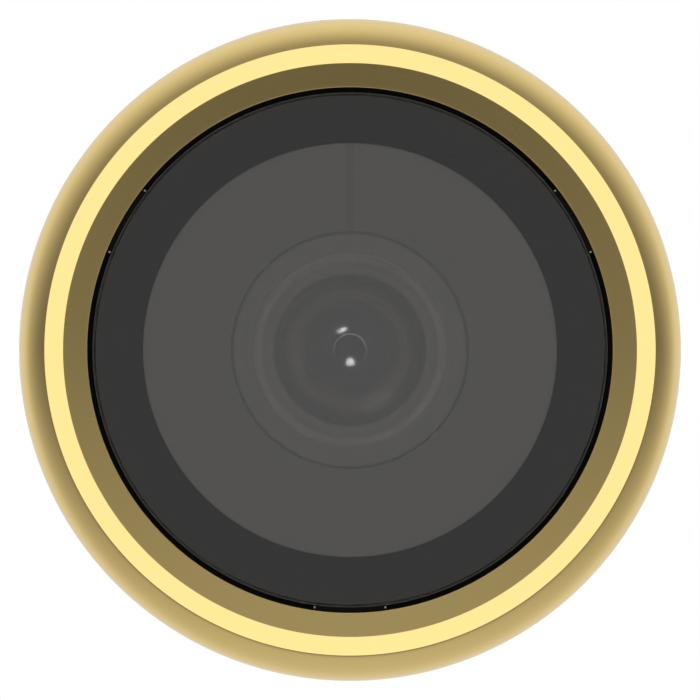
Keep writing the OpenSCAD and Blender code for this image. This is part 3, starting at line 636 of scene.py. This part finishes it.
# %% Housing finish with painted glints at the lug ends
LUG_PITCH = math.radians(120)
LUG_SHIFT = math.radians(390)
LUG_GLINT_ANGLES = (math.radians(7.6), math.radians(7.75))
LUG_GLINT_HEIGHTS = (22.3, 22.1)
LUG_GLINT_R = 21.95
LUG_GLINT_REACH = (0.06, 0.1)

# The black is darker than the other moulded plastic: painted shade for the narrow gap round the pane.
matt_black, tree, shader = new_finish("matt black housing", (0.006, 0.0057, 0.0054), 0.85)
grain = patches(tree, noise(tree, 2.0), (0.007, 0.0066, 0.0062), (0.005, 0.0047, 0.0045))
place = coordinates(tree)
turned_by = calculate(tree, "ADD", calculate(tree, "ARCTAN2", place["Z"], place["X"]), LUG_SHIFT)
from_lug = calculate(tree, "SUBTRACT", calculate(tree, "MODULO", turned_by, LUG_PITCH), LUG_PITCH / 2)
at_end = between(tree, calculate(tree, "ABSOLUTE", from_lug), 0.0, 1.0, *LUG_GLINT_ANGLES)
on_top = between(tree, place["Y"], 1.0, 0.0, *[-front * MM for front in LUG_GLINT_HEIGHTS])
off_middle = calculate(tree, "ABSOLUTE", calculate(tree, "SUBTRACT", from_axis(tree), LUG_GLINT_R * MM))
in_reach = between(tree, off_middle, 1.0, 0.0, *[reach * MM for reach in LUG_GLINT_REACH])
# Painted highlight: pale spots at the lug ends stand in for glints on their corners.
painted_lug_glint = calculate(tree, "MULTIPLY", calculate(tree, "MULTIPLY", at_end, on_top), in_reach)
fill(tree, shader.inputs["Base Color"], patches(tree, painted_lug_glint, grain, (0.43, 0.42, 0.41)))
fill(tree, shader.inputs["Roughness"], between(tree, noise(tree, 0.5), 0.78, 0.92))
shader.inputs["Specular IOR Level"].default_value = 0.06
relief(tree, shader, noise(tree, 0.12), 0.005)
print("housing nodes", len(tree.nodes))

# %% [markdown]
# ## The baffle
# The baffle is a shallow dish round the lens, with one fine radial groove at twelve o'clock. The groove is
# cut with a Boolean, as the grub hole was. The cutter follows the dish's slope. Its sides lean in to a
# narrow foot, so that the groove darkens softly and isn't two hard lines.

# %% Baffle with its groove
BAFFLE_HOLE_R = 10.08
BAFFLE_BACK = 18.95
BAFFLE_EDGE = 19.85
BAFFLE_BEND_R = 14.95
BAFFLE_RIM_R = 17.95
BAFFLE_RIM_BACK = 19.7
FINE_EDGE = 0.06
GROOVE_TOP = 0.66
GROOVE_FOOT = 0.04
GROOVE_DEPTH = 0.33
GROOVE_CLEAR = 1.0
GROOVE_START_R = 9.2
GROOVE_PAST = 0.4

baffle_profile = [(BAFFLE_HOLE_R, BAFFLE_BACK), (BAFFLE_BEND_R, BAFFLE_RIM_BACK),
                  (BAFFLE_RIM_R, BAFFLE_RIM_BACK), (BAFFLE_RIM_R, SEAT), (CLEAR_R, SEAT, 0.05),
                  (BAFFLE_HOLE_R, BAFFLE_EDGE, 0.12)]
baffle = build("dark_baffle", spin(soften(baffle_profile, edge=FINE_EDGE)))


def groove_cutter(inner, outer):
    """Bar at twelve o'clock that follows the baffle's slope from hole to rim, narrow at its foot."""
    top, foot = GROOVE_TOP / 2, GROOVE_FOOT / 2
    corners = []
    for r, front in (inner, outer):
        for lift, half in ((-GROOVE_DEPTH, foot), (0.0, top), (GROOVE_CLEAR, top)):
            for x in (-half, half):
                corners.append((x * MM, -(front + lift) * MM, r * MM))
    end = [0, 1, 3, 5, 4, 2]
    sides = [(a, b, b + 6, a + 6) for a, b in zip(end, end[1:] + end[:1])]
    return build("groove", (corners, [tuple(end), tuple(k + 6 for k in end[::-1]), *sides]))


slope = (SEAT - BAFFLE_EDGE) / (CLEAR_R - BAFFLE_HOLE_R)
groove_end = (CLEAR_R + GROOVE_PAST, SEAT + GROOVE_PAST * slope)
cut(baffle, groove_cutter((GROOVE_START_R, BAFFLE_EDGE - slope), groove_end))
fit(baffle, "lens_baffle", "head", lens_black)

# %% [markdown]
# ## The lens ring
# A turned ring screws onto the lens and holds the front glass. It has a step to sit on the glass and a
# sloped mouth that leads the eye in. It turns with the lens, so it rides on the lens's body.

# %% Lens ring
RING_R = 9.88
RING_BORE_R = 9.3
RING_BACK = 15.9
RING_FRONT = 19.65
RING_FLAT_R = 8.5
RING_MOUTH_R = 7.95
RING_STEP = 18.95

ring_profile = [(RING_BORE_R, RING_BACK), (RING_R, RING_BACK), (RING_R, RING_FRONT, 0.14),
                (RING_FLAT_R, RING_FRONT), (RING_MOUTH_R, RING_STEP), (RING_BORE_R, RING_STEP)]
front_ring = build("lens_ring", spin(soften(ring_profile, edge=FINE_EDGE)))
fit(front_ring, "lens_front_ring", "lens", lens_black)

# %% [markdown]
# ## Coated lens glass
# A wide-angle lens has a domed front with a deep hollow behind. Its coating swallows most reflections, so
# the photograph shows hardly more than two small glints on it. A low index gives such a faint mirror, and
# a touch of roughness lets the lamps below find the dome in a few samples.

# %% Lens finish and front lens
DOME_R = 16.8
DOME_TOP = 20.9
DOME_STEPS = 40
LENS_R = 8.4
LENS_BACK = 16.69
HOLLOW_R = 10.0
HOLLOW_RIM = 6.3
HOLLOW_BACK = 16.7
HOLLOW_STEPS = 32
LENS_COLUMNS = 128

coated, tree, shader = new_finish("coated lens glass", (0.985, 0.982, 0.978), 0.084)
shader.inputs["Transmission Weight"].default_value = 1.0
shader.inputs["IOR"].default_value = 1.06
fill(tree, shader.inputs["Roughness"], between(tree, noise(tree, 1.5), 0.08, 0.088))


def cap(curve_r, top, highlight_ring, steps):
    """Points of a ball's cap from the axis out to a rim."""
    radii = [highlight_ring * i / steps for i in range(steps + 1)]
    return [Vector((r, top - curve_r + math.sqrt(curve_r ** 2 - r ** 2))) for r in radii]


hollow_top = HOLLOW_BACK + HOLLOW_R - math.sqrt(HOLLOW_R ** 2 - HOLLOW_RIM ** 2)
dome = cap(DOME_R, DOME_TOP, LENS_R, DOME_STEPS)
hollow = cap(HOLLOW_R, hollow_top, HOLLOW_RIM, HOLLOW_STEPS)
lens_profile = dome + [Vector((LENS_R, LENS_BACK)), Vector((HOLLOW_RIM, LENS_BACK))] + hollow[::-1][1:]
front_lens = build("domed_lens", spin(lens_profile, columns=LENS_COLUMNS, closed=False))
fit(front_lens, "front_lens", "lens", coated)

# %% [markdown]
# ## The spacer ring
# Deep in the lens a thin black ring keeps two glasses apart, and the eye meets it as a dark band round the
# pupil. It touches the glass in front of it, so its face is sunk into the glass by the same small amount
# as the tape's.

# %% Spacer ring
SPACER_IN = 3.5
SPACER_OUT = 4.6
SPACER_BACK = 12.7
SPACER_FRONT = 13.3

spacer_front = SPACER_FRONT + SINK
spacer_profile = [(SPACER_IN, SPACER_BACK, 0.05), (SPACER_OUT, SPACER_BACK, 0.05),
                  (SPACER_OUT, spacer_front, 0.05), (SPACER_IN, spacer_front, 0.08)]
spacer = build("spacer_ring", spin(soften(spacer_profile), columns=ROUND_STEPS))
fit(spacer, "lens_spacer", "lens", lens_black)

# %% [markdown]
# ## Glints on the lens
# Photographers leave a small lamp or two for the lens alone, so that it looks alive. Here a round lamp
# below the camera gives the white dot, a short strip above gives the bright dash, and a wide dim one gives
# the soft band low on the right. Each has its place in the picture, its half sizes on the dome in
# millimetres and its brightness. Light linking keeps them off the gold, which would show them as hot
# spots. A lamp's place follows from the dome: a mirror that leans by an angle looks twice as far away.

# %% Lamps that only the lens sees
LAMP_AWAY = 80.0
PX_MM = BEZEL_D / FACE_PX
GLINTS = {
    "dot": ((0.3, -12), (0.335, 0.3), 920.0),
    "dash": ((-8, 20), (0.44, 0.11), 1300.0),
    "band": ((28, -50), (1.6, 0.85), 26.0),
}

lens_only = bpy.data.collections.new("lens only")
lens_only.objects.link(front_lens)
for label, (pixels, half_size, radiance) in GLINTS.items():
    spot = Vector((pixels[0], 0, pixels[1])) * PX_MM
    tilt = math.asin(spot.length / DOME_R)
    outward = spot.normalized() * math.sin(2 * tilt) + Vector((0, -1, 0)) * math.cos(2 * tilt)
    spread = [2 * size * (1 + 2 * LAMP_AWAY / DOME_R) * MM for size in half_size]
    lamp = bpy.data.lights.new("glint " + label, "AREA")
    lamp.shape = "ELLIPSE"
    lamp.size, lamp.size_y = spread
    lamp.energy = radiance * math.pi * (math.pi / 4 * spread[0] * spread[1])
    holder = bpy.data.objects.new("glint " + label, lamp)
    on_dome = spot + Vector((0, -DOME_TOP + DOME_R * (1 - math.cos(tilt)), 0))
    holder.location = (on_dome + outward * LAMP_AWAY) * MM
    across = outward.cross(spot).normalized()
    holder.rotation_euler = Matrix((across, outward.cross(across), outward)).transposed().to_euler()
    holder.visible_camera = False
    holder.visible_transmission = False
    holder.light_linking.receiver_collection = lens_only
    scene.collection.objects.link(holder)
    print("glint", label, "lamp", [round(s / MM) for s in spread], "mm")

# %% [markdown]
# ## Turned brass
# Barrel and nut are turned from brass and plated, a little deeper in colour than the bezel and not as
# smooth. Hands and the door polish the crests of the thread, while the roots stay dull. The radius tells
# crest from root, so it drives both the colour and the shine.

# %% Brass finish
ROOT_R = 6.3
WORN_R = 6.85

brass, tree, shader = new_finish("turned brass", (0.8, 0.63, 0.3), 0.3, metal=1.0)
worn = between(tree, from_axis(tree), 0.0, 1.0, start=ROOT_R * MM, end=WORN_R * MM)
cloudy = patches(tree, noise(tree, 4.0), (0.83, 0.655, 0.31), (0.76, 0.59, 0.27))
fill(tree, shader.inputs["Base Color"], patches(tree, worn, (0.5, 0.37, 0.15), cloudy))
marks = tool_marks(tree, coordinates(tree)["Y"], 0.11)
dull = between(tree, worn, 0.16, 0.0, 0.0, 1.0)
fill(tree, shader.inputs["Roughness"], calculate(tree, "ADD", between(tree, marks, 0.2, 0.3), dull))
relief(tree, shader, marks, 0.002)
print("brass nodes", len(tree.nodes))

# %% [markdown]
# ## The thread
# In the CAD model each turn of the barrel's thread is a ring. Here it is one true right-handed helix. The
# rows of its mesh follow the thread instead of going straight round, so crest and root stay clean with
# few points. Above its first turn and below its last the rows are pressed flat against the plain tube,
# where the groove runs out gently.

# %% Helix of the barrel's thread
BARREL_R = 6.9
PITCH = 1.5
SHANK_END = -14.0
THREAD_END = -69.5
BARREL_COLUMNS = 72
RUN_OUT = 1.1
TURN_STOPS = [0.03, 0.22, 0.28, 0.47, 0.53, 0.72, 0.78, 0.97]


def thread_radius(phase):
    """Radius of the thread at a share of its pitch: flank, root, flank and crest, a quarter each."""
    quarter = phase * 4
    if quarter < 1:
        return BARREL_R - (BARREL_R - ROOT_R) * quarter
    if quarter < 2:
        return ROOT_R
    if quarter < 3:
        return ROOT_R + (BARREL_R - ROOT_R) * (quarter - 2)
    return BARREL_R


def ease(x):
    x = min(max(x, 0.0), 1.0)
    return x * x * (3 - 2 * x)


def helix_shell():
    turns = round((SHANK_END - THREAD_END) / PITCH)
    phases = [t + stop for t in range(-1, turns + 1) for stop in TURN_STOPS]
    phases = [-1.0 - TURN_STOPS[0]] + phases + [turns + 1.0]
    verts, faces = [], []
    for phase in phases:
        section = thread_radius(phase % 1.0)
        for c in range(BARREL_COLUMNS + 1):
            share_of_turn = c / BARREL_COLUMNS
            front = SHANK_END - PITCH * (phase + share_of_turn)
            front = min(max(front, THREAD_END), SHANK_END)
            begin = ease((SHANK_END - front) / RUN_OUT)
            finish_off = ease((front - THREAD_END) / RUN_OUT)
            r = BARREL_R + (section - BARREL_R) * begin
            r = ROOT_R + (r - ROOT_R) * finish_off
            verts.append(ring_point(r, front, 2 * math.pi * share_of_turn))
    width = BARREL_COLUMNS + 1
    for row in range(len(phases) - 1):
        for c in range(BARREL_COLUMNS):
            a = row * width + c
            faces.append((a, a + 1, a + 1 + width, a + width))
    return verts, faces


helix = helix_shell()
print("helix", len(helix[0]), "points", len(helix[1]), "faces")

# %% [markdown]
# ## The barrel
# The barrel is a tube with a flange inside the head, a plain shank and the long thread for the clamp nut.
# The tube is spun as usual and joined to the helix. Where the helix's rows are pressed flat, faces lose
# corners, so this piece has a builder of its own that drops them. Three countersunk screws hold the
# flange, and their holes are cut last.

# %% Barrel
BORE_R = 5.2
BARREL_END = -72.0
BARREL_TOP = 4.3
FLANGE_R = 11.0
FLANGE_FRONT = 2.7
FLANGE_BACK = 1.5
COLLAR_R = 7.2
POINTS_PER_M = 1e7
FLANGE_SCREW_R = 9.1
SCREW_HOLE_R = 0.75
HEAD_REACH = 1.0
CUT_FROM = 0.5
CUT_TO = 3.2
HOLE_STEPS = 32

barrel_profile = [
    (ROOT_R, THREAD_END, 0), (ROOT_R, BARREL_END, 0.25), (BORE_R, BARREL_END, 0.15), (BORE_R, BARREL_TOP),
    (BARREL_R, BARREL_TOP), (BARREL_R, FLANGE_FRONT, 0.02), (FLANGE_R, FLANGE_FRONT, 0.15),
    (FLANGE_R, FLANGE_BACK), (COLLAR_R, FLANGE_BACK, 0.02), (COLLAR_R, 0.0, 0.05), (BARREL_R, 0.0, 0.02),
    (BARREL_R, SHANK_END, 0),
]
tube = spin(soften(barrel_profile, closed=False), columns=BARREL_COLUMNS, closed=False)


def build_threaded(name, *shells):
    """As build(), for shells whose pressed rows leave faces with repeated corners."""
    mesh = bmesh.new()
    known = {}

    def vertex(v):
        key = tuple(round(x * POINTS_PER_M) for x in v)
        if key not in known:
            known[key] = mesh.verts.new(v)
        return known[key]

    for verts, faces in shells:
        made = [vertex(v) for v in verts]
        for face in faces:
            corners = list(dict.fromkeys(made[i] for i in face))
            if len(corners) > 2 and not mesh.faces.get(corners):
                mesh.faces.new(corners)
    print(name, "open edges", sum(1 for e in mesh.edges if not e.is_manifold))
    return as_piece(name, mesh)


def countersunk_cutter(x, z):
    """Cutter for a countersunk screw in the barrel's flange."""
    head_r = SCREW_HOLE_R + HEAD_REACH
    points = [(0, CUT_FROM), (head_r, CUT_FROM), (head_r, FLANGE_BACK),
              (SCREW_HOLE_R, FLANGE_BACK + HEAD_REACH), (SCREW_HOLE_R, CUT_TO), (0, CUT_TO)]
    made = build("countersink", spin([Vector(p) for p in points], columns=HOLE_STEPS, closed=False))
    made.location = (x * MM, 0, z * MM)
    return made


barrel = build_threaded("threaded_barrel", helix, tube)
for turn in (0, 120, 240):
    a = math.radians(turn)
    cut(barrel, countersunk_cutter(FLANGE_SCREW_R * math.cos(a), FLANGE_SCREW_R * math.sin(a)))
fit(barrel, "barrel", "head", brass)

# %% [markdown]
# ## The clamp nut
# From inside the door a fluted nut pulls the head tight. It is a turned blank with round flutes milled
# along its grip. A Boolean with 28 cutters would do it; a lathe whose radius dips into each flute gives
# an even mesh instead. The columns are set so that each flute gets the same ones.

# %% Clamp nut
NUT_R = 11.0
NUT_BORE_R = 7.0
NUT_FLANGE_R = 13.0
NUT_END_R = 10.2
NUT_FACE = -48.1
NUT_FLANGE_BACK = -50.3
NUT_CHAMFER = -56.3
NUT_BACK = -57.1
FLUTES = 28
FLUTE_R = 0.6
FLUTE_COLUMNS = 14
FLUTE_FROM = NUT_FLANGE_BACK - 0.02
FLUTE_TOP = NUT_FLANGE_BACK - 0.05
GRIP_DEPTH = 2.0


def fluted(r, front, angle):
    if front > FLUTE_FROM or r < NUT_R - GRIP_DEPTH:
        return r
    pitch = 2 * math.pi / FLUTES
    off = (angle + pitch / 2) % pitch - pitch / 2
    side = NUT_R * math.sin(off)
    if abs(side) >= FLUTE_R:
        return r
    return min(r, NUT_R * math.cos(off) - math.sqrt(FLUTE_R ** 2 - side ** 2))


nut_profile = [
    (NUT_BORE_R, NUT_FACE, 0.3), (NUT_FLANGE_R, NUT_FACE, 0.15), (NUT_FLANGE_R, NUT_FLANGE_BACK, 0.3),
    (NUT_R, NUT_FLANGE_BACK, 0.0), (NUT_R, FLUTE_TOP, 0.0), (NUT_R, NUT_CHAMFER, 0.2),
    (NUT_END_R, NUT_BACK, 0.15), (NUT_BORE_R, NUT_BACK, 0.3),
]
nut = build("fluted_nut", spin(soften(nut_profile), columns=FLUTES * FLUTE_COLUMNS, shape=fluted))
fit(nut, "clamp_nut", "nut", brass)

# %% [markdown]
# ## Zinc-plated steel
# The washer and all the screws are zinc plated. Zinc is a bluish grey with soft cloudy crystals, and a
# washer that was stamped has one rounded and one crisp edge.

# %% Zinc finish and washer
CLAMP_BORE_R = 7.1
WASHER_R = 16.0
WASHER_FRONT = -46.5

zinc, tree, shader = new_finish("zinc plated steel", (0.72, 0.73, 0.75), 0.34, metal=1.0)
crystals = noise(tree, 1.1, detail=5.0)
fill(tree, shader.inputs["Base Color"], patches(tree, crystals, (0.76, 0.77, 0.79), (0.64, 0.655, 0.68)))
fill(tree, shader.inputs["Roughness"], between(tree, crystals, 0.28, 0.42))
relief(tree, shader, noise(tree, 0.25), 0.003)
washer_profile = [(CLAMP_BORE_R, WASHER_FRONT, 0.1), (WASHER_R, WASHER_FRONT, 0.12),
                  (WASHER_R, NUT_FACE, 0.5), (CLAMP_BORE_R, NUT_FACE, 0.2)]
washer = build("zinc_washer", spin(soften(washer_profile)))
fit(washer, "clamp_washer", "clamp", zinc)

# %% [markdown]
# ## Rubber
# Two soft rings keep water and draughts out: a wide one under the head and a small one under the washer.
# Moulded rubber is matt and slightly dusty, with rounded edges. The big gasket has raised sealing ribs,
# made by sinking the face between them a little.

# %% Rubber finish and gaskets
GASKET_OUT = 25.7
GASKET_IN = 7.4
GASKET_FRONT = 1.5
RIB_HOLLOWS = [(24.3, 20.9), (19.6, 9.3)]
RIB_SINK = 0.25
RIB_SIDE = 0.3
SMALL_R = 15.0
SMALL_FRONT = -45.0

rubber, tree, shader = new_finish("moulded rubber", (0.03, 0.03, 0.031), 0.7)
dust = noise(tree, 3.5, detail=6.0)
fill(tree, shader.inputs["Base Color"], patches(tree, dust, (0.026, 0.026, 0.027), (0.042, 0.041, 0.04)))
fill(tree, shader.inputs["Roughness"], between(tree, dust, 0.62, 0.82))
relief(tree, shader, noise(tree, 0.18), 0.006)

gasket_profile = [(GASKET_IN, GASKET_FRONT), (GASKET_OUT, GASKET_FRONT), (GASKET_OUT, 0.0, 0.35)]
for outer, inner in RIB_HOLLOWS:
    gasket_profile += [(outer, 0.0, 0.2), (outer - RIB_SIDE, RIB_SINK, 0.12),
                       (inner + RIB_SIDE, RIB_SINK, 0.12), (inner, 0.0, 0.2)]
gasket_profile.append((GASKET_IN, 0.0, 0.2))
gasket = build("head_gasket", spin(soften(gasket_profile)))
fit(gasket, "door_gasket", "head", rubber)
small_profile = [(CLAMP_BORE_R, WASHER_FRONT), (SMALL_R, WASHER_FRONT), (SMALL_R, SMALL_FRONT, 0.5),
                 (CLAMP_BORE_R, SMALL_FRONT, 0.3)]
small_gasket = build("clamp_gasket", spin(soften(small_profile)))
fit(small_gasket, "inner_gasket", "clamp", rubber)

# %% [markdown]
# ## Plastics
# What is left keeps its CAD shape: the board and its parts, the screws, the socket and more. Moulded
# plastic has a fine spark-eroded grain. Chips are dull black with a mould's texture, and the header for
# the lead is ivory. Each is the same recipe with its own sizes and colours.

# %% Plastic finishes
plastic, tree, shader = new_finish("moulded black plastic", (0.03, 0.029, 0.028), 0.5)
fill(tree, shader.inputs["Base Color"],
     patches(tree, noise(tree, 2.0), (0.033, 0.032, 0.031), (0.025, 0.0245, 0.024)))
fill(tree, shader.inputs["Roughness"], between(tree, noise(tree, 0.5), 0.42, 0.6))
relief(tree, shader, noise(tree, 0.12), 0.005)

chip, tree, shader = new_finish("moulded chip", (0.03, 0.03, 0.032), 0.6)
fill(tree, shader.inputs["Base Color"],
     patches(tree, noise(tree, 0.3), (0.036, 0.036, 0.038), (0.024, 0.024, 0.026)))
relief(tree, shader, noise(tree, 0.1), 0.004)

ivory, tree, shader = new_finish("ivory plastic", (0.78, 0.74, 0.64), 0.45)
fill(tree, shader.inputs["Base Color"],
     patches(tree, noise(tree, 1.8), (0.8, 0.76, 0.66), (0.74, 0.7, 0.6)))
relief(tree, shader, noise(tree, 0.2), 0.003)
print("plastics", plastic.name, chip.name, ivory.name)

# %% [markdown]
# ## Filter and circuit board
# The filter in front of the sensor is thin glass with a pink coat. The board shows copper tracks under its
# green mask. Drawing each track would take long for a hidden piece, while a brick pattern gives lines that
# run in steps, and its mortar stands up as the tracks do.

# %% Filter glass and solder mask
filter_glass, tree, shader = new_finish("infrared filter glass", (0.75, 0.5, 0.66), 0.03)
shader.inputs["Transmission Weight"].default_value = 1.0
shader.inputs["IOR"].default_value = 1.08
fill(tree, shader.inputs["Base Color"],
     patches(tree, noise(tree, 3.0), (0.76, 0.5, 0.67), (0.72, 0.52, 0.66)))

board_mask, tree, shader = new_finish("green solder mask", (0.015, 0.11, 0.05), 0.35)
tracks = add_node(tree, "ShaderNodeTexBrick", {"offset": 0.37, "squash": 0.6, "squash_frequency": 3},
                  Vector=position(tree), Scale=260.0, Mortar_Size=0.05, Mortar_Smooth=0.3,
                  Mortar=(0.03, 0.12, 0.05, 1), Color1=(0.007, 0.06, 0.027, 1),
                  Color2=(0.01, 0.07, 0.032, 1))
fill(tree, shader.inputs["Base Color"], tracks.outputs["Color"])
fill(tree, shader.inputs["Roughness"], between(tree, noise(tree, 1.5), 0.3, 0.42))
relief(tree, shader, tracks.outputs["Fac"], 0.01)
print("board nodes", len(tree.nodes))

# %% [markdown]
# ## Small metal parts
# Solder joints and cans are tinned, and the socket's pins are flashed with gold. The aperture plate deep
# in the lens is black. Round its hole a fine pale ring is a painted highlight, painted brighter at the top
# as light from above. The distance from the axis finds the ring, and the height fades it out below.

# %% Tin, gold flash and the aperture plate
PUPIL_HIGHLIGHT_R = (1.41, 1.46)
PUPIL_HIGHLIGHT_FADE = (-0.6, 0.9)

tinned, tree, shader = new_finish("tinned metal", (0.6, 0.58, 0.55), 0.3, metal=1.0)
fill(tree, shader.inputs["Base Color"],
     patches(tree, noise(tree, 0.6), (0.66, 0.64, 0.61), (0.52, 0.5, 0.48)))
fill(tree, shader.inputs["Roughness"], between(tree, noise(tree, 0.4), 0.24, 0.4))

pin_gold, tree, shader = new_finish("gold flashed pins", (0.92, 0.72, 0.32), 0.22, metal=1.0)
fill(tree, shader.inputs["Base Color"],
     patches(tree, noise(tree, 0.8), (0.94, 0.75, 0.35), (0.88, 0.67, 0.28)))
fill(tree, shader.inputs["Roughness"], between(tree, noise(tree, 0.4), 0.18, 0.3))

aperture_plate_highlighted, tree, shader = new_finish("aperture plate", (0.0105, 0.0105, 0.0102), 0.6)
# Painted highlight: a fine pale ring round the hole, painted brighter at the top as light from above.
highlight_ring = between(tree, from_axis(tree), 1.0, 0.0, *[r * MM for r in PUPIL_HIGHLIGHT_R])
painted_top_light = between(tree, coordinates(tree)["Z"], 0.1, 1.0, *[z * MM for z in PUPIL_HIGHLIGHT_FADE])
painted_pupil_highlight = calculate(tree, "MULTIPLY", highlight_ring, painted_top_light)
fill(tree, shader.inputs["Base Color"], patches(tree, painted_pupil_highlight, (0.0105, 0.0105, 0.0102), (0.19, 0.185, 0.18)))
shader.inputs["Specular IOR Level"].default_value = 0.06
print("finishes", len(bpy.data.materials))

# %% [markdown]
# ## Dress the CAD pieces
# The record says which slot each CAD piece belongs to, and each slot has its finish. Two pieces have one
# of their own. Four of the pieces that show get a thin Bevel modifier, so that their edges catch the light
# like moulded or machined ones. A modifier leaves the CAD mesh itself as it is.

# %% Finishes by slot
BY_SLOT = {
    "gold_metal": gold, "barrel_brass": brass, "zinc_steel": zinc, "clear_glass": coated,
    "filter_glass": filter_glass, "black_tape": tape_finish, "black_plastic": plastic,
    "lens_black": lens_black, "rubber": rubber, "circuit_board": board_mask, "chip_black": chip,
    "part_metal": tinned, "header_plastic": ivory, "pin_gold": pin_gold,
}
BY_NODE = {"camera_housing": matt_black, "aperture_stop": aperture_plate_highlighted}
EDGES = {"tail_socket": 0.12, "socket_pins": 0.08, "bezel_grub_screw": 0.08, "aperture_stop": 0.05}
EDGE_SEGMENTS = 2
EDGE_FROM = math.radians(50)

for entry in frame["record"]["subparts"]:
    node = frame["nodes"][entry["node"]]
    if node.hide_render:
        continue
    node.data.materials.clear()
    node.data.materials.append(BY_NODE.get(entry["node"], BY_SLOT[entry["material_slot"]]))
    if entry["node"] in EDGES:
        edge = node.modifiers.new("soft edges", "BEVEL")
        edge.width = EDGES[entry["node"]] * MM
        edge.segments = EDGE_SEGMENTS
        edge.limit_method = "ANGLE"
        edge.angle_limit = EDGE_FROM
print("dressed", sum(1 for n in frame["nodes"].values() if not n.hide_render), "CAD pieces")
